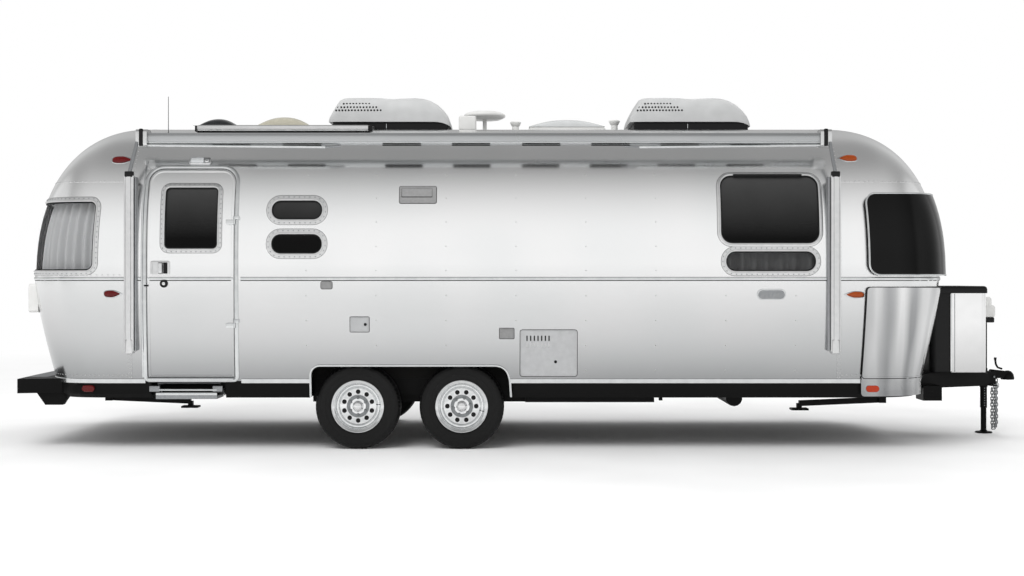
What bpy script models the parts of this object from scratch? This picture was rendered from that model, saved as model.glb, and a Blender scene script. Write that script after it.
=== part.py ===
"""Riveted aluminium travel caravan on two axles.

Lengths in metres. +X is the towing end, -Y the entry-door side, +Z up, the ground is z = 0.
"""
import math

import bmesh
import bpy
from mathutils import Matrix, Vector

GAP = 0.0003
SWING_GAP = 0.005

# Body shell: a section that stays constant between the two ends, and a cap at each end.
SIDE_Y = 1.289
ROOF_Z = 2.666
CROWN_RISE = 1.292
BELT_Z = ROOF_Z - CROWN_RISE
BODY_FOOT_Z = 0.5533
ROOF_EDGE_DROP = 0.296
FLAT_SHARE = 0.992
CROWN_POWER = 3.2
TUCK_IN = 0.045
WALL = 0.045
ENDS = {
    -1: {"start": 3.30, "depth": 0.952, "plan_low": 3.96, "plan_top": 3.98, "crown": 2.18,
         "tuck": 0.183, "tuck_power": 1.32},
    1: {"start": 2.40, "depth": 0.982, "plan_low": 4.1, "plan_top": 4.0, "crown": 2.3,
        "tuck": 0.175, "tuck_power": 1.05},
}
END_STEPS = 10
SIDE_STEPS = 3
CROWN_STEPS = 8
WALL_TOP_Z = ROOF_Z - ROOF_EDGE_DROP
CROWN_H = CROWN_RISE / FLAT_SHARE
SIDE_IN = SIDE_Y - 0.389
SIDE_OUT = SIDE_Y + 0.311
FAR = 6.0

# Underside
BELLY_Z = 0.416
FLOOR_TOP_Z = BODY_FOOT_Z + 0.0367
FRAME_TOP_Z = BODY_FOOT_Z - GAP
RAIL_DROP = 0.06
RAIL_Y = 0.86
RAIL_W = 0.06
JOIN_UP = 0.02

# Wheels
WHEEL_X = {"rear": -1.476, "front": -0.635}
TYRE_R = 0.343
WHEEL_Y = SIDE_Y - 0.184
WHEEL_STEPS = 24
RIM_SEAT_R = 0.5714 * TYRE_R
WELL_X0 = WHEEL_X["rear"] - TYRE_R - 0.041
WELL_X1 = WHEEL_X["front"] + TYRE_R + 0.077
WELL_Y = WHEEL_Y - 0.155
WELL_TOP_Z = 2 * TYRE_R + 0.094
WELL_SHEET = 0.012
ARCH_TOP_Z = 2 * TYRE_R - 0.016


def opening(x0, x1, head_z, high, radius):
    """An opening in a side wall: x from, x to, z from, z to, corner radius."""
    return (x0, x1, head_z - high, head_z, radius)


WINDOW_MAIN = opening(1.446, 2.242, WALL_TOP_Z - 0.158, 0.554, 0.092)
WINDOW_LOW = opening(1.486, 2.212, WINDOW_MAIN[2] - 0.0595, 0.1635, 0.078)
OVAL_UPPER = opening(-2.161, -1.750, WALL_TOP_Z - 0.362, 0.159, 0.075)
OVAL_LOWER = opening(-2.161, -1.750, OVAL_UPPER[2] - 0.112, 0.161, 0.075)
DOOR_HEAD_Z = WALL_TOP_Z - 0.108
DOOR_SILL_Z = BODY_FOOT_Z + 0.0267
DOOR = opening(-3.155, -2.460, DOOR_HEAD_Z, DOOR_HEAD_Z - DOOR_SILL_Z, 0.11)
DOOR_GLASS = opening(DOOR[0] + 0.136, DOOR[1] - 0.130, DOOR_HEAD_Z - 0.148, 0.499, 0.04)
DOOR_LEAN = 0.16
GLASS_OUT = 0.008
GLASS_IN = 0.014

# Entry door hinge and handle
DOOR_AXIS = (DOOR[1] + 0.008, -SIDE_Y - 0.012)
HINGE_Z = (DOOR_HEAD_Z - 0.431, DOOR_SILL_Z + 0.421)
HINGE_HALF = 0.020
HINGE_R = 0.009
HINGE_LEAF = 0.035
HINGE_FIXED = 0.03
HANDLE_X0 = DOOR[0] + 0.029
HANDLE_LONG = 0.154
HANDLE_HIGH = 0.116
HANDLE_TOP_Z = DOOR_GLASS[2] - 0.095
PADDLE_X0 = HANDLE_X0 + 0.062
PADDLE_W = 0.038
LOCK_R = 0.032
LOCK_X = HANDLE_X0 + 0.107
LOCK_Z = HANDLE_TOP_Z - 0.183

# Glass round the corners: edge on the side, post in the end, sill, head, corner radius
REAR_HEAD_Z = ROOF_Z - 0.51625 * CROWN_RISE
REAR_GLASS = {"edge_x": -3.585, "post_y": 0.66, "z0": BELT_Z + 0.067, "z1": REAR_HEAD_Z, "radius": 0.06}
REAR_MIDDLE_Y = 0.60
FRONT_HEAD_Z = ROOF_Z - 0.54644 * CROWN_RISE
FRONT_GLASS = {"edge_x": 2.74, "post_y": 0.66, "z0": BELT_Z + 0.086, "z1": FRONT_HEAD_Z, "radius": 0.06}
FRONT_MIDDLE_Y = 0.60
FRONT_LAP = 0.02
FRONT_PANE = 0.006

# Lamps on both sides: along from the cap's seam, height
MARKERS = [
    {"end": -1, "along": 0.096, "z": ROOF_Z - 0.328, "long": 0.13, "high": 0.055},
    {"end": -1, "along": 0.149, "z": BELT_Z - 0.120, "long": 0.14, "high": 0.062},
    {"end": 1, "along": 0.096, "z": ROOF_Z - 0.312, "long": 0.15, "high": 0.055},
    {"end": 1, "along": 0.121, "z": BELT_Z - 0.126, "long": 0.14, "high": 0.055},
]
MARKER_PROUD = 0.014
MARKER_SUNK = 0.02
BAND_LAMP = {"long": 0.105, "high": 0.052, "z": BODY_FOOT_Z - 0.062}
BAND_LAMP_REAR = 0.42
BAND_LAMP_FRONT = 0.32
TAIL_Y = (0.77, 0.93)
TAIL_Z = (BELT_Z - 0.275, BELT_Z - 0.042)
TAIL_PROUD = 0.094
PORCH_X = (-2.850, -2.673)
PORCH_Z = (WALL_TOP_Z - 0.082, WALL_TOP_Z - 0.010)
PORCH_PROUD = 0.035

# Covers that follow the door-side skin: x from, x to, z from, z to, corner radius
COVER_PROUD = 0.004
COVER_SUNK = 0.010
COVERS = [
    {"name": "access_large", "x0": -0.162, "x1": 0.295, "z0": BODY_FOOT_Z + 0.0377,
     "z1": BODY_FOOT_Z + 0.4117, "radius": 0.02},
    {"name": "access_square", "x0": -1.527, "x1": -1.375, "z0": BODY_FOOT_Z + 0.3957,
     "z1": BODY_FOOT_Z + 0.5157, "radius": 0.008},
    {"name": "access_small", "x0": -0.328, "x1": -0.212, "z0": BODY_FOOT_Z + 0.3417,
     "z1": BODY_FOOT_Z + 0.4247, "radius": 0.006},
    {"name": "outlet", "x0": -1.760, "x1": -1.671, "z0": BELT_Z - 0.079, "z1": BELT_Z - 0.021,
     "radius": 0.012},
    {"name": "badge", "x0": 1.736, "x1": 1.969, "z0": BELT_Z - 0.168, "z1": BELT_Z - 0.080, "radius": 0.044},
    {"name": "range_vent", "x0": -1.134, "x1": -0.837, "z0": WALL_TOP_Z - 0.387,
     "z1": WALL_TOP_Z - 0.250, "radius": 0.012},
]
LOUVRE = {"x0": -0.113, "pitch": 0.0295, "wide": 0.011, "count": 7}
LOUVRE_ROWS = ((BODY_FOOT_Z + 0.2687, BODY_FOOT_Z + 0.3127), (BODY_FOOT_Z + 0.3227, BODY_FOOT_Z + 0.3667))
VENT_FLAP = {"x0": -1.118, "x1": -0.870, "z0": WALL_TOP_Z - 0.340, "z1": WALL_TOP_Z - 0.265, "radius": 0.006}

# Front window guard
GUARD_OUT = (0.045, 0.051)
GUARD_Z0 = FRONT_GLASS["z0"] - 0.058
GUARD_Z1 = FRONT_GLASS["z1"] + 0.095
GUARD_EDGE_X = FRONT_GLASS["edge_x"] - 0.117
GUARD_SPLIT_Y = 0.66
GUARD_RADIUS = 0.09
GUARD_AXIS_Z = GUARD_Z1 + 0.005
GUARD_BARREL_R = 0.008
GUARD_LUG_Y = 0.44
GUARD_LUG = 0.03
GUARD_LUG_HIGH = 0.012
GUARD_NOTCH = 0.02
GUARD_FOOT = 0.024
GUARD_FOOT_IN = 0.05
GUARD_FOOT_Z = (GUARD_Z0 + 0.06, GUARD_Z1 - 0.08)

# Bright lower guard with its skirt over the belly
STONE_OUT = (0.020, 0.024)
STONE_EDGE_X = 2.612
STONE_SPLIT_Y = 0.46
SKIRT_SPLIT_Y = 0.56
STONE_TOP_Z = BELT_Z - 0.064
STONE_FOOT_Z = (BODY_FOOT_Z + 0.04, STONE_TOP_Z - 0.06)
STONE_RADIUS = 0.03
SKIRT_FOOT_Z = BELLY_Z + 0.014
SKIRT_LAP = 0.02

# Stabiliser legs
LEGS = [
    {"name": "stabiliser_front_curb", "x": 2.83, "y": -0.92, "run": -1},
    {"name": "stabiliser_front_street", "x": 2.83, "y": 0.92, "run": -1},
    {"name": "stabiliser_rear_curb", "x": -3.62, "y": -0.70, "run": 1},
    {"name": "stabiliser_rear_street", "x": -3.62, "y": 0.70, "run": 1},
]
LEG_LONG = 0.68
LEG_Z = BELLY_Z - 0.041
LEG_SAG = 0.03
LEG_W = 0.05
LEG_H = 0.045
LEG_EYE = 0.040
LEG_EYE_R = 0.020
LEG_EAR = 0.008
LEG_EAR_HALF = 0.03
LEG_EAR_LOW = 0.024
LEG_FOOT = 0.07
LEG_FOOT_Y = 0.055
LEG_FOOT_LOW = 0.085
LEG_FOOT_THICK = 0.015
LEG_WEB = 0.02

# A-frame, coupler and jack
HITCH_Z0 = BELLY_Z + 0.011
HITCH_Z1 = FRAME_TOP_Z - 0.001
HITCH_REAR = (2.60, 0.70)
HITCH_FRONT = (4.00, 0.075)
HITCH_W = 0.06
NOSE_X0 = 3.85
NOSE_X = 4.08
NOSE_BACK_Y = 0.14
NOSE_Y = 0.07
CROSS_X = (3.42, 3.48)
CROSS_Y = 0.33
CROSS_IN = 0.02
BATTERY_X = (3.30, 3.46)
BATTERY_Y = (-0.52, -0.30)
BATTERY_Z0 = HITCH_Z0 - 0.097
TRAY = 0.008
TRAY_LAP = 0.002
COUPLER_X = 4.267
COUPLER_Z = (HITCH_Z0 + 0.048, HITCH_Z1 + 0.025)
SOCKET_X = COUPLER_X - 0.059
SOCKET_R = 0.027
SOCKET_Z = COUPLER_Z[0] + 0.060
JACK_X = 3.994
JACK_R = 0.029
JACK_BORE = 0.0245
LEG_R = 0.0240
JACK_FOOT_Z = 0.22
JACK_TOP_Z = 1.02
JACK_CAP = 0.065
JACK_LEG_TOP_Z = 0.62
JACK_PAD_R = 0.075
JACK_PAD = 0.012
FLANGE_R = 0.045
JACK_HEAD_Z = (0.985, 1.20)

# Gas-bottle cover
GAS_X0 = ENDS[1]["start"] + ENDS[1]["depth"] + 0.038
GAS_X1 = 3.913
GAS_Y = 0.345
GAS_RADIUS = 0.07
GAS_SHEET = 0.008
GAS_TOP_Z = BELT_Z - 0.124
GAS_LAP = 0.015
GAS_LID = 0.063
TRAY_X = (GAS_X0 - 0.060, GAS_X1 + 0.002)
TRAY_Y = GAS_Y + 0.025

# Rear bumper with a locker and its lid
BUMPER_Z0 = BELLY_Z + 0.031
BUMPER_Z1 = BODY_FOOT_Z + 0.0027
LID = 0.008
LID_Z1 = BUMPER_Z1 + LID
LID_X = -4.082
LID_Y = 0.92
BUMPER_X = -4.266
BUMPER_BOW = (0.008, 0.028)
BUMPER_BOW_Y = (0.25, 0.70)
BUMPER_END_Y = (1.17, 1.085)
BUMPER_FRONT_X = -3.84
LOCKER_WALL = 0.028
LOCKER_END = 0.03
LOCKER_FLOOR = 0.008
LOCKER_X1 = LID_X - 0.018
SKID_Y = (1.00, 1.07)
SKID_X = (-4.125, -4.045, -3.905, -3.830)
SKID_TOP_Z = BUMPER_Z0 + 0.012
SKID_Z = BELLY_Z - 0.071

# Axles
AXLE_AHEAD = 0.15
AXLE_HALF = 0.035
AXLE_Z = BELLY_Z - RAIL_DROP - GAP - AXLE_HALF
AXLE_END_Y = WHEEL_Y - 0.190
AXLE_ARM_Y = (WHEEL_Y - 0.200, WHEEL_Y - 0.165)
AXLE_ARM_H = 0.06
SPINDLE_R = 0.1444 * RIM_SEAT_R
SPINDLE_Y = (WHEEL_Y - 0.175, WHEEL_Y + 0.044)
DRUM_R = 0.689 * RIM_SEAT_R
DRUM_Y = (WHEEL_Y - 0.135, WHEEL_Y - 0.060)

# Rims and tyres: radius (of the rim, in shares of its seat), distance outwards from the wheel's middle
HUB_R = SPINDLE_R + 0.0005
HOLE_RING_R = 0.597 * RIM_SEAT_R
HOLE_R = 0.097 * RIM_SEAT_R
HOLE_SIDES = 8
HOLE_COUNT = 10
RIM_PROFILE = [
    (0.0, 0.100), (0.168, 0.098), (0.184, 0.062), (0.449, 0.056), (0.745, 0.056), (0.832, 0.040),
    (0.918, 0.046), (0.954, 0.086), (1.046, 0.098), (1.082, 0.098), (1.082, 0.089), (1.0, 0.083),
    (1.0, -0.083), (0.959, -0.090), (0.939, 0.030), (0.745, 0.044), (0.306, 0.044), (0.281, -0.030),
    (HUB_R / RIM_SEAT_R, -0.030), (HUB_R / RIM_SEAT_R, 0.048), (0.0, 0.048),
]
TYRE_PROFILE = [
    (RIM_SEAT_R + GAP, 0.0820), (1.084 * RIM_SEAT_R, 0.0884), (1.102 * RIM_SEAT_R, 0.0970),
    (1.25 * RIM_SEAT_R, 0.1075), (0.831 * TYRE_R, 0.1080), (0.933 * TYRE_R, 0.1010), (0.9854 * TYRE_R,
                                                                                      0.0860),
    (TYRE_R, 0.060),
]

# Roof fittings
SEAT_Z = ROOF_Z + GAP
AIR_UNITS = [
    {"name": "air_unit_rear", "x0": -1.825, "x1": -0.765},
    {"name": "air_unit_front", "x0": 0.800, "x1": 1.850},
]
AIR_Y = 0.355
AIR_BASE_IN = 0.03
AIR_BASE_Y = AIR_Y - 0.025
AIR_BASE = 0.049
AIR_HIGH = 0.306
AIR_SOFT = 0.03
PANEL = {"x0": -2.908, "x1": -1.40, "y0": -0.90, "y1": -0.42, "lift": 0.006, "thick": 0.023}
PANEL_FOOT = {"long": 0.05, "wide": 0.04, "in_x": 0.058, "in_y": 0.04}
DOMES = [
    {"name": "roof_vent_rear", "x0": -3.02, "x1": -2.655, "high": 0.134, "tone": 0.05},
    {"name": "roof_vent_mid", "x0": -2.50, "x1": -2.00, "high": 0.149, "tone": 0.6},
    {"name": "skylight", "x0": -0.081, "x1": 0.595, "high": 0.124, "tone": 0.7},
]
DOME_HALF_Y = 0.21
DOME_FOOT = 0.05
DISC_X = -0.473
DISC_Y = 0.05
DISC_R = 0.186
DISC_HIGH = 0.214
MAST_X = -3.105
MAST_Y = -0.80
MAST_TOP = 0.234
MAST_SUNK = 0.166
PIPE_CAPS = ((-0.196, 0.117), (0.688, 0.129))
PIPE_CAP_R = 0.050
PIPE_R = 0.030
SENSOR = {"x0": -0.685, "x1": -0.545, "y0": -0.38, "y1": -0.24, "high": 0.123}

# Awning
TUBE_Y = -SIDE_Y + 0.099
TUBE_Z = ROOF_Z - 0.156
TUBE_R = 0.047
CASTING = 0.07
CASTING_LONG = 0.09
CASTING_RADIUS = 0.03
AWNING_X0 = -3.255
AWNING_X1 = 2.345
ARM_OUT = 0.045
ARM_HALF = 0.04
ARM_FOOT_Z = 0.79
ARM_TOP_Z = WALL_TOP_Z - 0.170
ARM_SHIFT = {"rear": -0.035, "front": 0.005}
ARM_TOE = {"rear": 0.045, "front": -0.030}
RAFTER_R = 0.013
RAFTER_Z = (TUBE_Z - 0.057, TUBE_Z - 0.070)
RAFTER_TO = (-1.733, 0.799)

# Folding step
STEP_X0 = DOOR[0] + 0.020
STEP_X1 = DOOR[1] - 0.075
STEP_END_X = STEP_X1 - 0.04
STEP_Y_IN = SIDE_Y - 0.429
STEP_PIVOT = (-SIDE_Y + 0.189, BODY_FOOT_Z - 0.0253)
STEP_ARM = 0.165
STEP_REST = math.radians(-35)
STEP_SIDE = 0.02
STEP_EAR = 0.03
STEP_PIVOT_R = 0.011
STEP_PIN_R = 0.009
STEP_BAR = 0.008
STEP_BAR_H = 0.028
STEP_DEEP = 0.25
STEP_THICK = 0.024
STEP_NOSE = 0.05

# Under the floor
TANK = {"x0": -0.12, "x1": 0.94, "y0": -1.02, "y1": -0.15, "low": 0.054}
DRAIN_X = 1.59
DRAIN_Y = (-1.06, -0.40)
DRAIN_R = 0.068
PIPE_X = 1.00
PIPE_Y = -0.95
PIPE_LOW_Z = BELLY_Z - 0.045

BELLY_RINGS = [(BELLY_Z, 0.032), (BELLY_Z + 0.03, 0.008), (FRAME_TOP_Z, 0.004)]

ALU = (0.72, 0.73, 0.74)
BLACK = (0.02, 0.02, 0.022)
TINT = (0.03, 0.035, 0.04)

root = bpy.data.collections.new("travel_caravan")
cutters = bpy.data.collections.new("travel_caravan_cutters")


def start_scene():
    for item in list(bpy.data.objects):
        bpy.data.objects.remove(item, do_unlink=True)
    bpy.context.scene.collection.children.link(root)
    bpy.context.scene.collection.children.link(cutters)


def paint(obj, colour, roughness=0.5, metallic=0.0):
    mat = bpy.data.materials.new(obj.name)
    mat.use_nodes = True
    shader = mat.node_tree.nodes["Principled BSDF"]
    shader.inputs["Base Color"].default_value = (*colour, 1.0)
    shader.inputs["Roughness"].default_value = roughness
    shader.inputs["Metallic"].default_value = metallic
    obj.data.materials.clear()
    obj.data.materials.append(mat)
    return obj


def mesh_object(name, bm, home=None):
    bmesh.ops.recalc_face_normals(bm, faces=bm.faces)
    if bm.calc_volume(signed=True) < 0:
        bmesh.ops.reverse_faces(bm, faces=bm.faces)
    mesh = bpy.data.meshes.new(name)
    bm.to_mesh(mesh)
    bm.free()
    obj = bpy.data.objects.new(name, mesh)
    (home or cutters).objects.link(obj)
    return obj


def settle(obj):
    """Turn an object with modifiers, or a curve, into one plain mesh in the same place."""
    bpy.context.view_layer.update()
    graph = bpy.context.evaluated_depsgraph_get()
    mesh = bpy.data.meshes.new_from_object(obj.evaluated_get(graph))
    name = obj.name
    place = obj.matrix_world.copy()
    bpy.data.objects.remove(obj, do_unlink=True)
    bm = bmesh.new()
    bm.from_mesh(mesh)
    bm.transform(place)
    bmesh.ops.remove_doubles(bm, verts=bm.verts, dist=0.00001)
    return mesh_object(name, bm)


def box(name, low, high):
    bm = bmesh.new()
    size = [b - a for a, b in zip(low, high)]
    middle = [(a + b) / 2 for a, b in zip(low, high)]
    place = Matrix.Translation(middle) @ Matrix.Diagonal((*size, 1.0))
    bmesh.ops.create_cube(bm, size=1.0, matrix=place)
    return mesh_object(name, bm)


TURNS = {
    "X": Matrix(((0, 0, 1, 0), (1, 0, 0, 0), (0, 1, 0, 0), (0, 0, 0, 1))),
    "Y": Matrix(((1, 0, 0, 0), (0, 0, -1, 0), (0, 1, 0, 0), (0, 0, 0, 1))),
    "Z": Matrix.Identity(4),
}


def prism(name, outlines, axis, low, high):
    """A flat outline run along one axis; the first outline is the edge, the others are holes."""
    if isinstance(outlines[0][0], (int, float)):
        outlines = [outlines]
    curve = bpy.data.curves.new(name, "CURVE")
    curve.dimensions = "2D"
    curve.fill_mode = "BOTH"
    curve.extrude = (high - low) / 2
    for outline in outlines:
        spline = curve.splines.new("POLY")
        spline.points.add(len(outline) - 1)
        for point, (u, v) in zip(spline.points, outline):
            point.co = (u, v, 0, 1)
        spline.use_cyclic_u = True
    obj = bpy.data.objects.new(name, curve)
    cutters.objects.link(obj)
    middle = (low + high) / 2
    along = {"X": (middle, 0, 0), "Y": (0, middle, 0), "Z": (0, 0, middle)}[axis]
    obj.matrix_world = Matrix.Translation(along) @ TURNS[axis]
    return settle(obj)


def lathe(name, profile, axis, centre, steps=24):
    """A closed profile of (radius, height) turned about an axis through the centre."""
    bm = bmesh.new()
    points = [bm.verts.new((r, 0, h)) for r, h in profile]
    for a, b in zip(points, points[1:]):
        bm.edges.new((a, b))
    if profile[0][0] > 0 or profile[-1][0] > 0:
        bm.edges.new((points[-1], points[0]))
    mesh = bpy.data.meshes.new(name)
    bm.to_mesh(mesh)
    bm.free()
    obj = bpy.data.objects.new(name, mesh)
    cutters.objects.link(obj)
    screw = obj.modifiers.new("turn", "SCREW")
    screw.steps = steps
    screw.render_steps = steps
    screw.merge_threshold = 0.00001
    screw.use_merge_vertices = True
    facing = {"X": Matrix.Rotation(math.pi / 2, 4, "Y"), "Y": Matrix.Rotation(-math.pi / 2, 4, "X"),
              "-Y": Matrix.Rotation(math.pi / 2, 4, "X"), "Z": Matrix.Identity(4)}[axis]
    obj.matrix_world = Matrix.Translation(centre) @ facing
    return settle(obj)


def rod(name, start, end, radius, sides=12):
    start = Vector(start)
    end = Vector(end)
    bm = bmesh.new()
    spin = Vector((0, 0, 1)).rotation_difference(end - start).to_matrix().to_4x4()
    place = Matrix.Translation((start + end) / 2) @ spin
    bmesh.ops.create_cone(bm, cap_ends=True, segments=sides, radius1=radius, radius2=radius,
                          depth=(end - start).length, matrix=place)
    return mesh_object(name, bm)


def beam(name, start, end, width, height, side=(0, 0, 1)):
    """A square bar between two points; height lies along the side direction."""
    start = Vector(start)
    end = Vector(end)
    run = (end - start).normalized()
    across = Vector(side).cross(run).normalized()
    up = run.cross(across).normalized()
    frame = Matrix((run, across, up)).transposed().to_4x4()
    bm = bmesh.new()
    place = Matrix.Translation((start + end) / 2) @ frame
    bmesh.ops.create_cube(bm, size=1.0,
                          matrix=place @ Matrix.Diagonal(((end - start).length, width, height, 1.0)))
    return mesh_object(name, bm)


def rounded(x0, x1, y0, y1, radius, steps=5):
    radius = min(radius, (x1 - x0) / 2 - 0.00005, (y1 - y0) / 2 - 0.00005)
    points = []
    corners = [(x1 - radius, y1 - radius, 0), (x0 + radius, y1 - radius, 1),
               (x0 + radius, y0 + radius, 2), (x1 - radius, y0 + radius, 3)]
    for cx, cy, quarter in corners:
        for i in range(steps + 1):
            a = (quarter + i / steps) * math.pi / 2
            points.append((cx + radius * math.cos(a), cy + radius * math.sin(a)))
    return points


def join(base, others, how):
    """Cut, keep or add other bodies one by one, and clear them away."""
    for other in others:
        step = base.modifiers.new(how, "BOOLEAN")
        step.operation = how
        step.solver = "EXACT"
        step.object = other
        base = settle(base)
        bpy.data.objects.remove(other, do_unlink=True)
    return base


def copy_of(obj, name):
    twin = bpy.data.objects.new(name, obj.data.copy())
    cutters.objects.link(twin)
    twin.matrix_world = obj.matrix_world.copy()
    return twin


def keep(obj, name, colour, roughness=0.5, metallic=0.0):
    """Move a finished body into the object's own collection."""
    obj.name = name
    obj.data.name = name
    for home in list(obj.users_collection):
        home.objects.unlink(obj)
    root.objects.link(obj)
    return paint(obj, colour, roughness, metallic)


def hang(obj, axis_point):
    """Put the origin of a moving body on its joint's axis."""
    shift = Vector(axis_point)
    obj.data.transform(Matrix.Translation(-shift))
    obj.location = shift
    return obj


# Body form

def half_width(z, inset=0.0):
    if z <= BELT_Z:
        share = (BELT_Z - z) / (BELT_Z - BODY_FOOT_Z)
        return SIDE_Y - TUCK_IN * min(share, 1.2) ** 2 - inset
    share = (z - BELT_Z) / (CROWN_H - inset)
    return (SIDE_Y - inset) * max(1 - share ** CROWN_POWER, 0.0) ** (1 / CROWN_POWER)


def end_depth(z, end, inset=0.0):
    shape = ENDS[end]
    if z <= BELT_Z:
        share = (BELT_Z - z) / (BELT_Z - BODY_FOOT_Z)
        return shape["depth"] - shape["tuck"] * share ** shape["tuck_power"] - inset
    share = (z - BELT_Z) / (CROWN_H - inset)
    return (shape["depth"] - inset) * max(1 - share ** shape["crown"], 0.0) ** (1 / shape["crown"])


def true_ring(z, inset=0.0):
    """The plan outline at a height, from the street side of the front round to the back."""
    points = []
    width = half_width(z, inset)
    for end, order in ((1, range(END_STEPS, -END_STEPS - 1, -1)), (-1, range(-END_STEPS, END_STEPS + 1))):
        shape = ENDS[end]
        rise = max((z - BELT_Z) / CROWN_H, 0.0)
        power = shape["plan_low"] + (shape["plan_top"] - shape["plan_low"]) * rise
        depth = end_depth(z, end, inset)
        for i in order:
            a = abs(i) / END_STEPS * math.pi / 2
            y = math.copysign(width * math.sin(a) ** (2 / power), i)
            x = end * (shape["start"] + depth * max(math.cos(a), 0.0) ** (2 / power))
            points.append((x, y))
    return points


def crown_levels(inset=0.0):
    """Heights from the belt to the roof, closer together where the section turns over."""
    levels = []
    for i in range(1, CROWN_STEPS + 1):
        a = i / CROWN_STEPS * math.asin(FLAT_SHARE ** (CROWN_POWER / 2))
        levels.append(BELT_Z + (CROWN_H - inset) * math.sin(a) ** (2 / CROWN_POWER))
    return levels


def body_levels(inset=0.0, foot=BODY_FOOT_Z):
    rise = (BELT_Z - foot) / SIDE_STEPS
    return [foot + rise * i for i in range(SIDE_STEPS)] + [BELT_Z] + crown_levels(inset)


def body_ring(z, inset=0.0):
    """The outline of the faceted skin at a height, so that every cut and pane shares its facets."""
    levels = body_levels(inset)
    if z <= levels[0]:
        return true_ring(levels[0], inset)
    for low, high in zip(levels, levels[1:]):
        if z <= high:
            share = (z - low) / (high - low)
            return [(a[0] + (b[0] - a[0]) * share, a[1] + (b[1] - a[1]) * share)
                    for a, b in zip(true_ring(low, inset), true_ring(high, inset))]
    return true_ring(levels[-1], inset)


def skin(bm, levels, inset):
    rings = []
    for z in levels:
        rings.append([bm.verts.new((x, y, z)) for x, y in body_ring(z, inset)])
    for low, high in zip(rings, rings[1:]):
        for i in range(len(low)):
            j = (i + 1) % len(low)
            bm.faces.new((low[i], low[j], high[j]))
            bm.faces.new((low[i], high[j], high[i]))
    return rings


def body_solid(name, inset=0.0):
    bm = bmesh.new()
    rings = skin(bm, body_levels(inset), inset)
    bm.faces.new(rings[0])
    bm.faces.new(rings[-1])
    return mesh_object(name, bm)


def body_shell(name, outer, inner):
    """A closed skin between two insets, open at the foot."""
    bm = bmesh.new()
    outside = skin(bm, body_levels(outer), outer)
    inside = skin(bm, body_levels(inner), inner)
    for i in range(len(outside[0])):
        j = (i + 1) % len(outside[0])
        bm.faces.new((outside[0][i], inside[0][i], inside[0][j], outside[0][j]))
    bm.faces.new(outside[-1])
    bm.faces.new(inside[-1])
    return mesh_object(name, bm)


def reach_of(side):
    """The run of a cutter that goes through one side wall."""
    return (-SIDE_OUT, -SIDE_IN) if side < 0 else (SIDE_IN, SIDE_OUT)


def side_cut(name, spec, side, grow=0.0, steps=5):
    """A rounded opening through one side wall; side is -1 for the door side, 1 for the street side."""
    x0, x1, z0, z1, radius = spec
    outline = rounded(x0 - grow, x1 + grow, z0 - grow, z1 + grow, radius + grow, steps)
    return prism(name, outline, "Y", *reach_of(side))


def door_cut(name, grow):
    """The door's block: a rounded front view, and a rear edge that follows the swing."""
    x0, x1, z0, z1, radius = DOOR
    front = prism(name + "_front", rounded(x0 - grow, x1 + grow, z0 - grow, z1 + grow, radius + grow),
                  "Y", *reach_of(-1))
    low = x0 - grow
    high = x1 + grow
    plan = [(low, -SIDE_OUT), (high, -SIDE_OUT), (high, -SIDE_IN),
            (low + DOOR_LEAN * (SIDE_Y - SIDE_IN), -SIDE_IN), (low, -SIDE_Y)]
    side = prism(name + "_plan", plan, "Z", 0, z1 + WALL)
    return join(front, [side], "INTERSECT")


def end_reach(end):
    """The run of a cutter that goes through one end."""
    return (ENDS[1]["start"] - WALL, FAR) if end > 0 else (-FAR, -ENDS[-1]["start"] + WALL)


def wrap_cut(name, end, edge_x, post_y, z0, z1, radius, side, grow=0.0):
    """An opening that runs from the side wall round the corner to a post in the end."""
    low_x, high_x = (edge_x - grow, FAR) if end > 0 else (-FAR, edge_x + grow)
    a = prism(name + "_a", rounded(low_x, high_x, z0 - grow, z1 + grow, radius), "Y", -SIDE_OUT, SIDE_OUT)
    low_y, high_y = (post_y - grow, 2 * SIDE_Y) if side > 0 else (-2 * SIDE_Y, -post_y + grow)
    b = prism(name + "_b", rounded(low_y, high_y, z0 - grow, z1 + grow, radius), "X", *end_reach(end))
    return join(a, [b], "INTERSECT")


def middle_cut(name, end, half_y, z0, z1, radius, grow=0.0):
    outline = rounded(-half_y - grow, half_y + grow, z0 - grow, z1 + grow, radius)
    return prism(name, outline, "X", *end_reach(end))


def arch_cut(name, side):
    """The wheel arch: along from its ends, height from its top."""
    low = [(0.018, -0.37), (0.018, -0.07), (0.032, -0.025), (0.07, -0.002)]
    high = [(-0.155, 0.0), (-0.085, -0.015), (-0.05, -0.05), (-0.017, -0.24), (-0.007, -0.37)]
    outline = [(WELL_X0 + x, ARCH_TOP_Z + z) for x, z in low]
    outline += [(WELL_X1 + x, ARCH_TOP_Z + z) for x, z in high]
    return prism(name, outline, "Y", *reach_of(side))


def surface_y(x, z, inset=0.0):
    """Half width of the skin at a station along the body."""
    ring = body_ring(z, inset)
    for (xa, ya), (xb, yb) in zip(ring, ring[1:] + ring[:1]):
        if ya >= 0 and yb >= 0 and xa != xb and min(xa, xb) <= x <= max(xa, xb):
            return ya + (yb - ya) * (x - xa) / (xb - xa)
    return 0.0


def lamp(x, z, long, high, y, side):
    """A side lamp: a flat stadium that stands a little off the skin at y."""
    outline = rounded(x - long / 2, x + long / 2, z - high / 2, z + high / 2, high / 2, 4)
    low, high_y = y - MARKER_SUNK, y + MARKER_PROUD
    if side < 0:
        low, high_y = -high_y, -low
    return prism("lamp", outline, "Y", low, high_y)


def marker(spec, side):
    x = spec["end"] * (ENDS[spec["end"]]["start"] + spec["along"])
    return lamp(x, spec["z"], spec["long"], spec["high"], surface_y(x, spec["z"]), side)


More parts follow.
